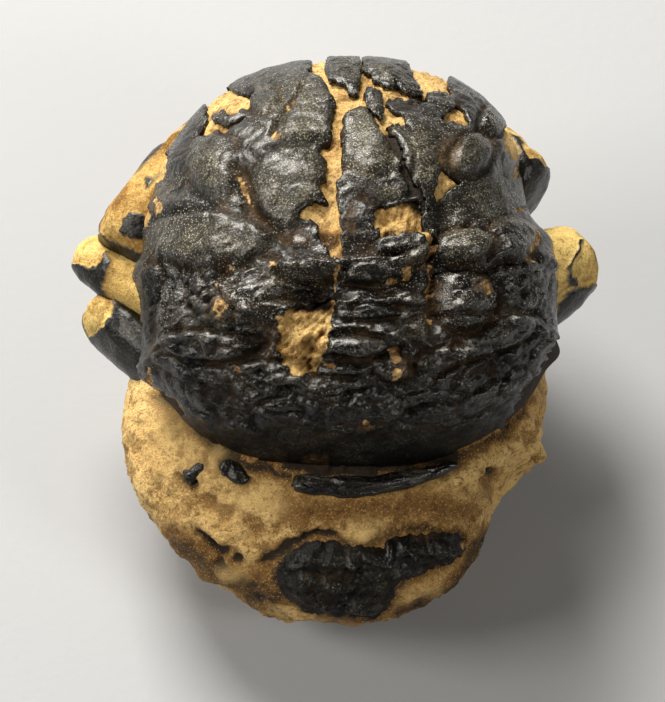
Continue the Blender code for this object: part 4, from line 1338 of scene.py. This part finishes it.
def stone_material():
    nodes = Nodes("tan stone")
    base, normal = stone_look(nodes, STONE_PALE, STONE_TAN, 0.8, 0.5 * MM)
    # Painted light, and the stone's own paler patches, lift the colour to pale.
    base = nodes.mix(nodes.maths("MULTIPLY", nodes.value("pale_and_lit"), 0.7), base, STONE_PALE)
    nodes.put(0.2, nodes.surface.inputs["Specular IOR Level"])
    return nodes.shade(base, 0.62, normal)


def limb_material():
    nodes = Nodes("stump")
    black, gloss, relief = shell_look(nodes)
    tan, grains = stone_look(nodes, LIMB_PALE, LIMB_TAN, 0.45, 0.25 * MM)
    share = nodes.value("black")
    nodes.put(nodes.maths("MULTIPLY", share, 0.5), nodes.surface.inputs["Coat Weight"])
    normal = nodes.add("ShaderNodeMix", {"data_type": "VECTOR"})
    nodes.put(share, normal.inputs[0])
    nodes.put(grains, normal.inputs[4])
    nodes.put(relief, normal.inputs[5])
    rough = nodes.maths("ADD", nodes.maths("MULTIPLY", gloss, share), nodes.maths("MULTIPLY_ADD", share, -0.7, 0.7))
    return nodes.shade(nodes.mix(share, tan, black), rough, normal.outputs[1])


# The studio

FLOOR_COLOUR = colour(0.31, 0.318, 0.335)
FLOOR_SIZE = 1.6
BACKDROP = 0.5


def build_floor():
    mesh = bpy.data.meshes.new("floor")
    half = FLOOR_SIZE / 2.0
    mesh.from_pydata([(-half, -half, 0), (half, -half, 0), (half, half, 0), (-half, half, 0)], [], [(0, 1, 2, 3)])
    floor = bpy.data.objects.new("floor", mesh)
    bpy.context.scene.collection.objects.link(floor)
    nodes = Nodes("floor")
    mesh.materials.append(nodes.shade(FLOOR_COLOUR, 0.9, nodes.bump(nodes.noise(2.0 * MM), 0.05 * MM)))


def aim(obj, place, target):
    obj.location = place
    obj.rotation_euler = (Vector(target) - Vector(place)).to_track_quat("-Z", "Y").to_euler()
    bpy.context.scene.collection.objects.link(obj)


LIGHTS = {  # place, size and power
    "key": ((-0.2, 0.46, 0.5), 0.34, 12.5),
    "fill": ((-0.5, -0.1, 0.42), 0.25, 3.2),
    "low": ((0.42, -0.3, 0.36), 0.16, 1.5),
}
LIGHT_COLOUR = (1.0, 0.955, 0.875)
WORLD_COLOUR = colour(0.84, 0.82, 0.78)
WORLD_STRENGTH = 0.07


def build_studio():
    build_floor()
    for name, (place, size, power) in LIGHTS.items():
        light = bpy.data.lights.new(name, "AREA")
        light.size = size
        light.energy = power
        light.color = LIGHT_COLOUR
        aim(bpy.data.objects.new(name, light), place, CAMERA_TARGET)
    bpy.context.scene.view_settings.view_transform = "Standard"
    world = bpy.data.worlds.new("studio")
    world.use_nodes = True
    world.node_tree.nodes["Background"].inputs["Color"].default_value = WORLD_COLOUR
    world.node_tree.nodes["Background"].inputs["Strength"].default_value = WORLD_STRENGTH
    bpy.context.scene.world = world
    lens = bpy.data.cameras.new("camera")
    lens.sensor_fit = "VERTICAL"
    lens.sensor_height = 36.0
    lens.lens = 36.0 * CAMERA_DISTANCE * PIXELS_PER_METRE / FRAME_SIZE[1]
    lens.clip_start = 0.01
    camera = bpy.data.objects.new("camera", lens)
    level, climb = math.cos(CAMERA_ELEVATION), math.sin(CAMERA_ELEVATION)
    place = CAMERA_TARGET + np.array((0.0, -level, climb)) * CAMERA_DISTANCE
    aim(camera, place, CAMERA_TARGET)
    bpy.context.scene.camera = camera


def main():
    black, stone, limb = shell_material(), stone_material(), limb_material()
    build_carapace(black)
    build_stone(stone)
    for name, spec in BARRELS.items():
        if name in LIMBS:
            barrel(name, *spec, limb, "limb_stone")
        else:
            barrel(name, *spec, black, "black_shell")
    build_tail(black)
    build_studio()


main()
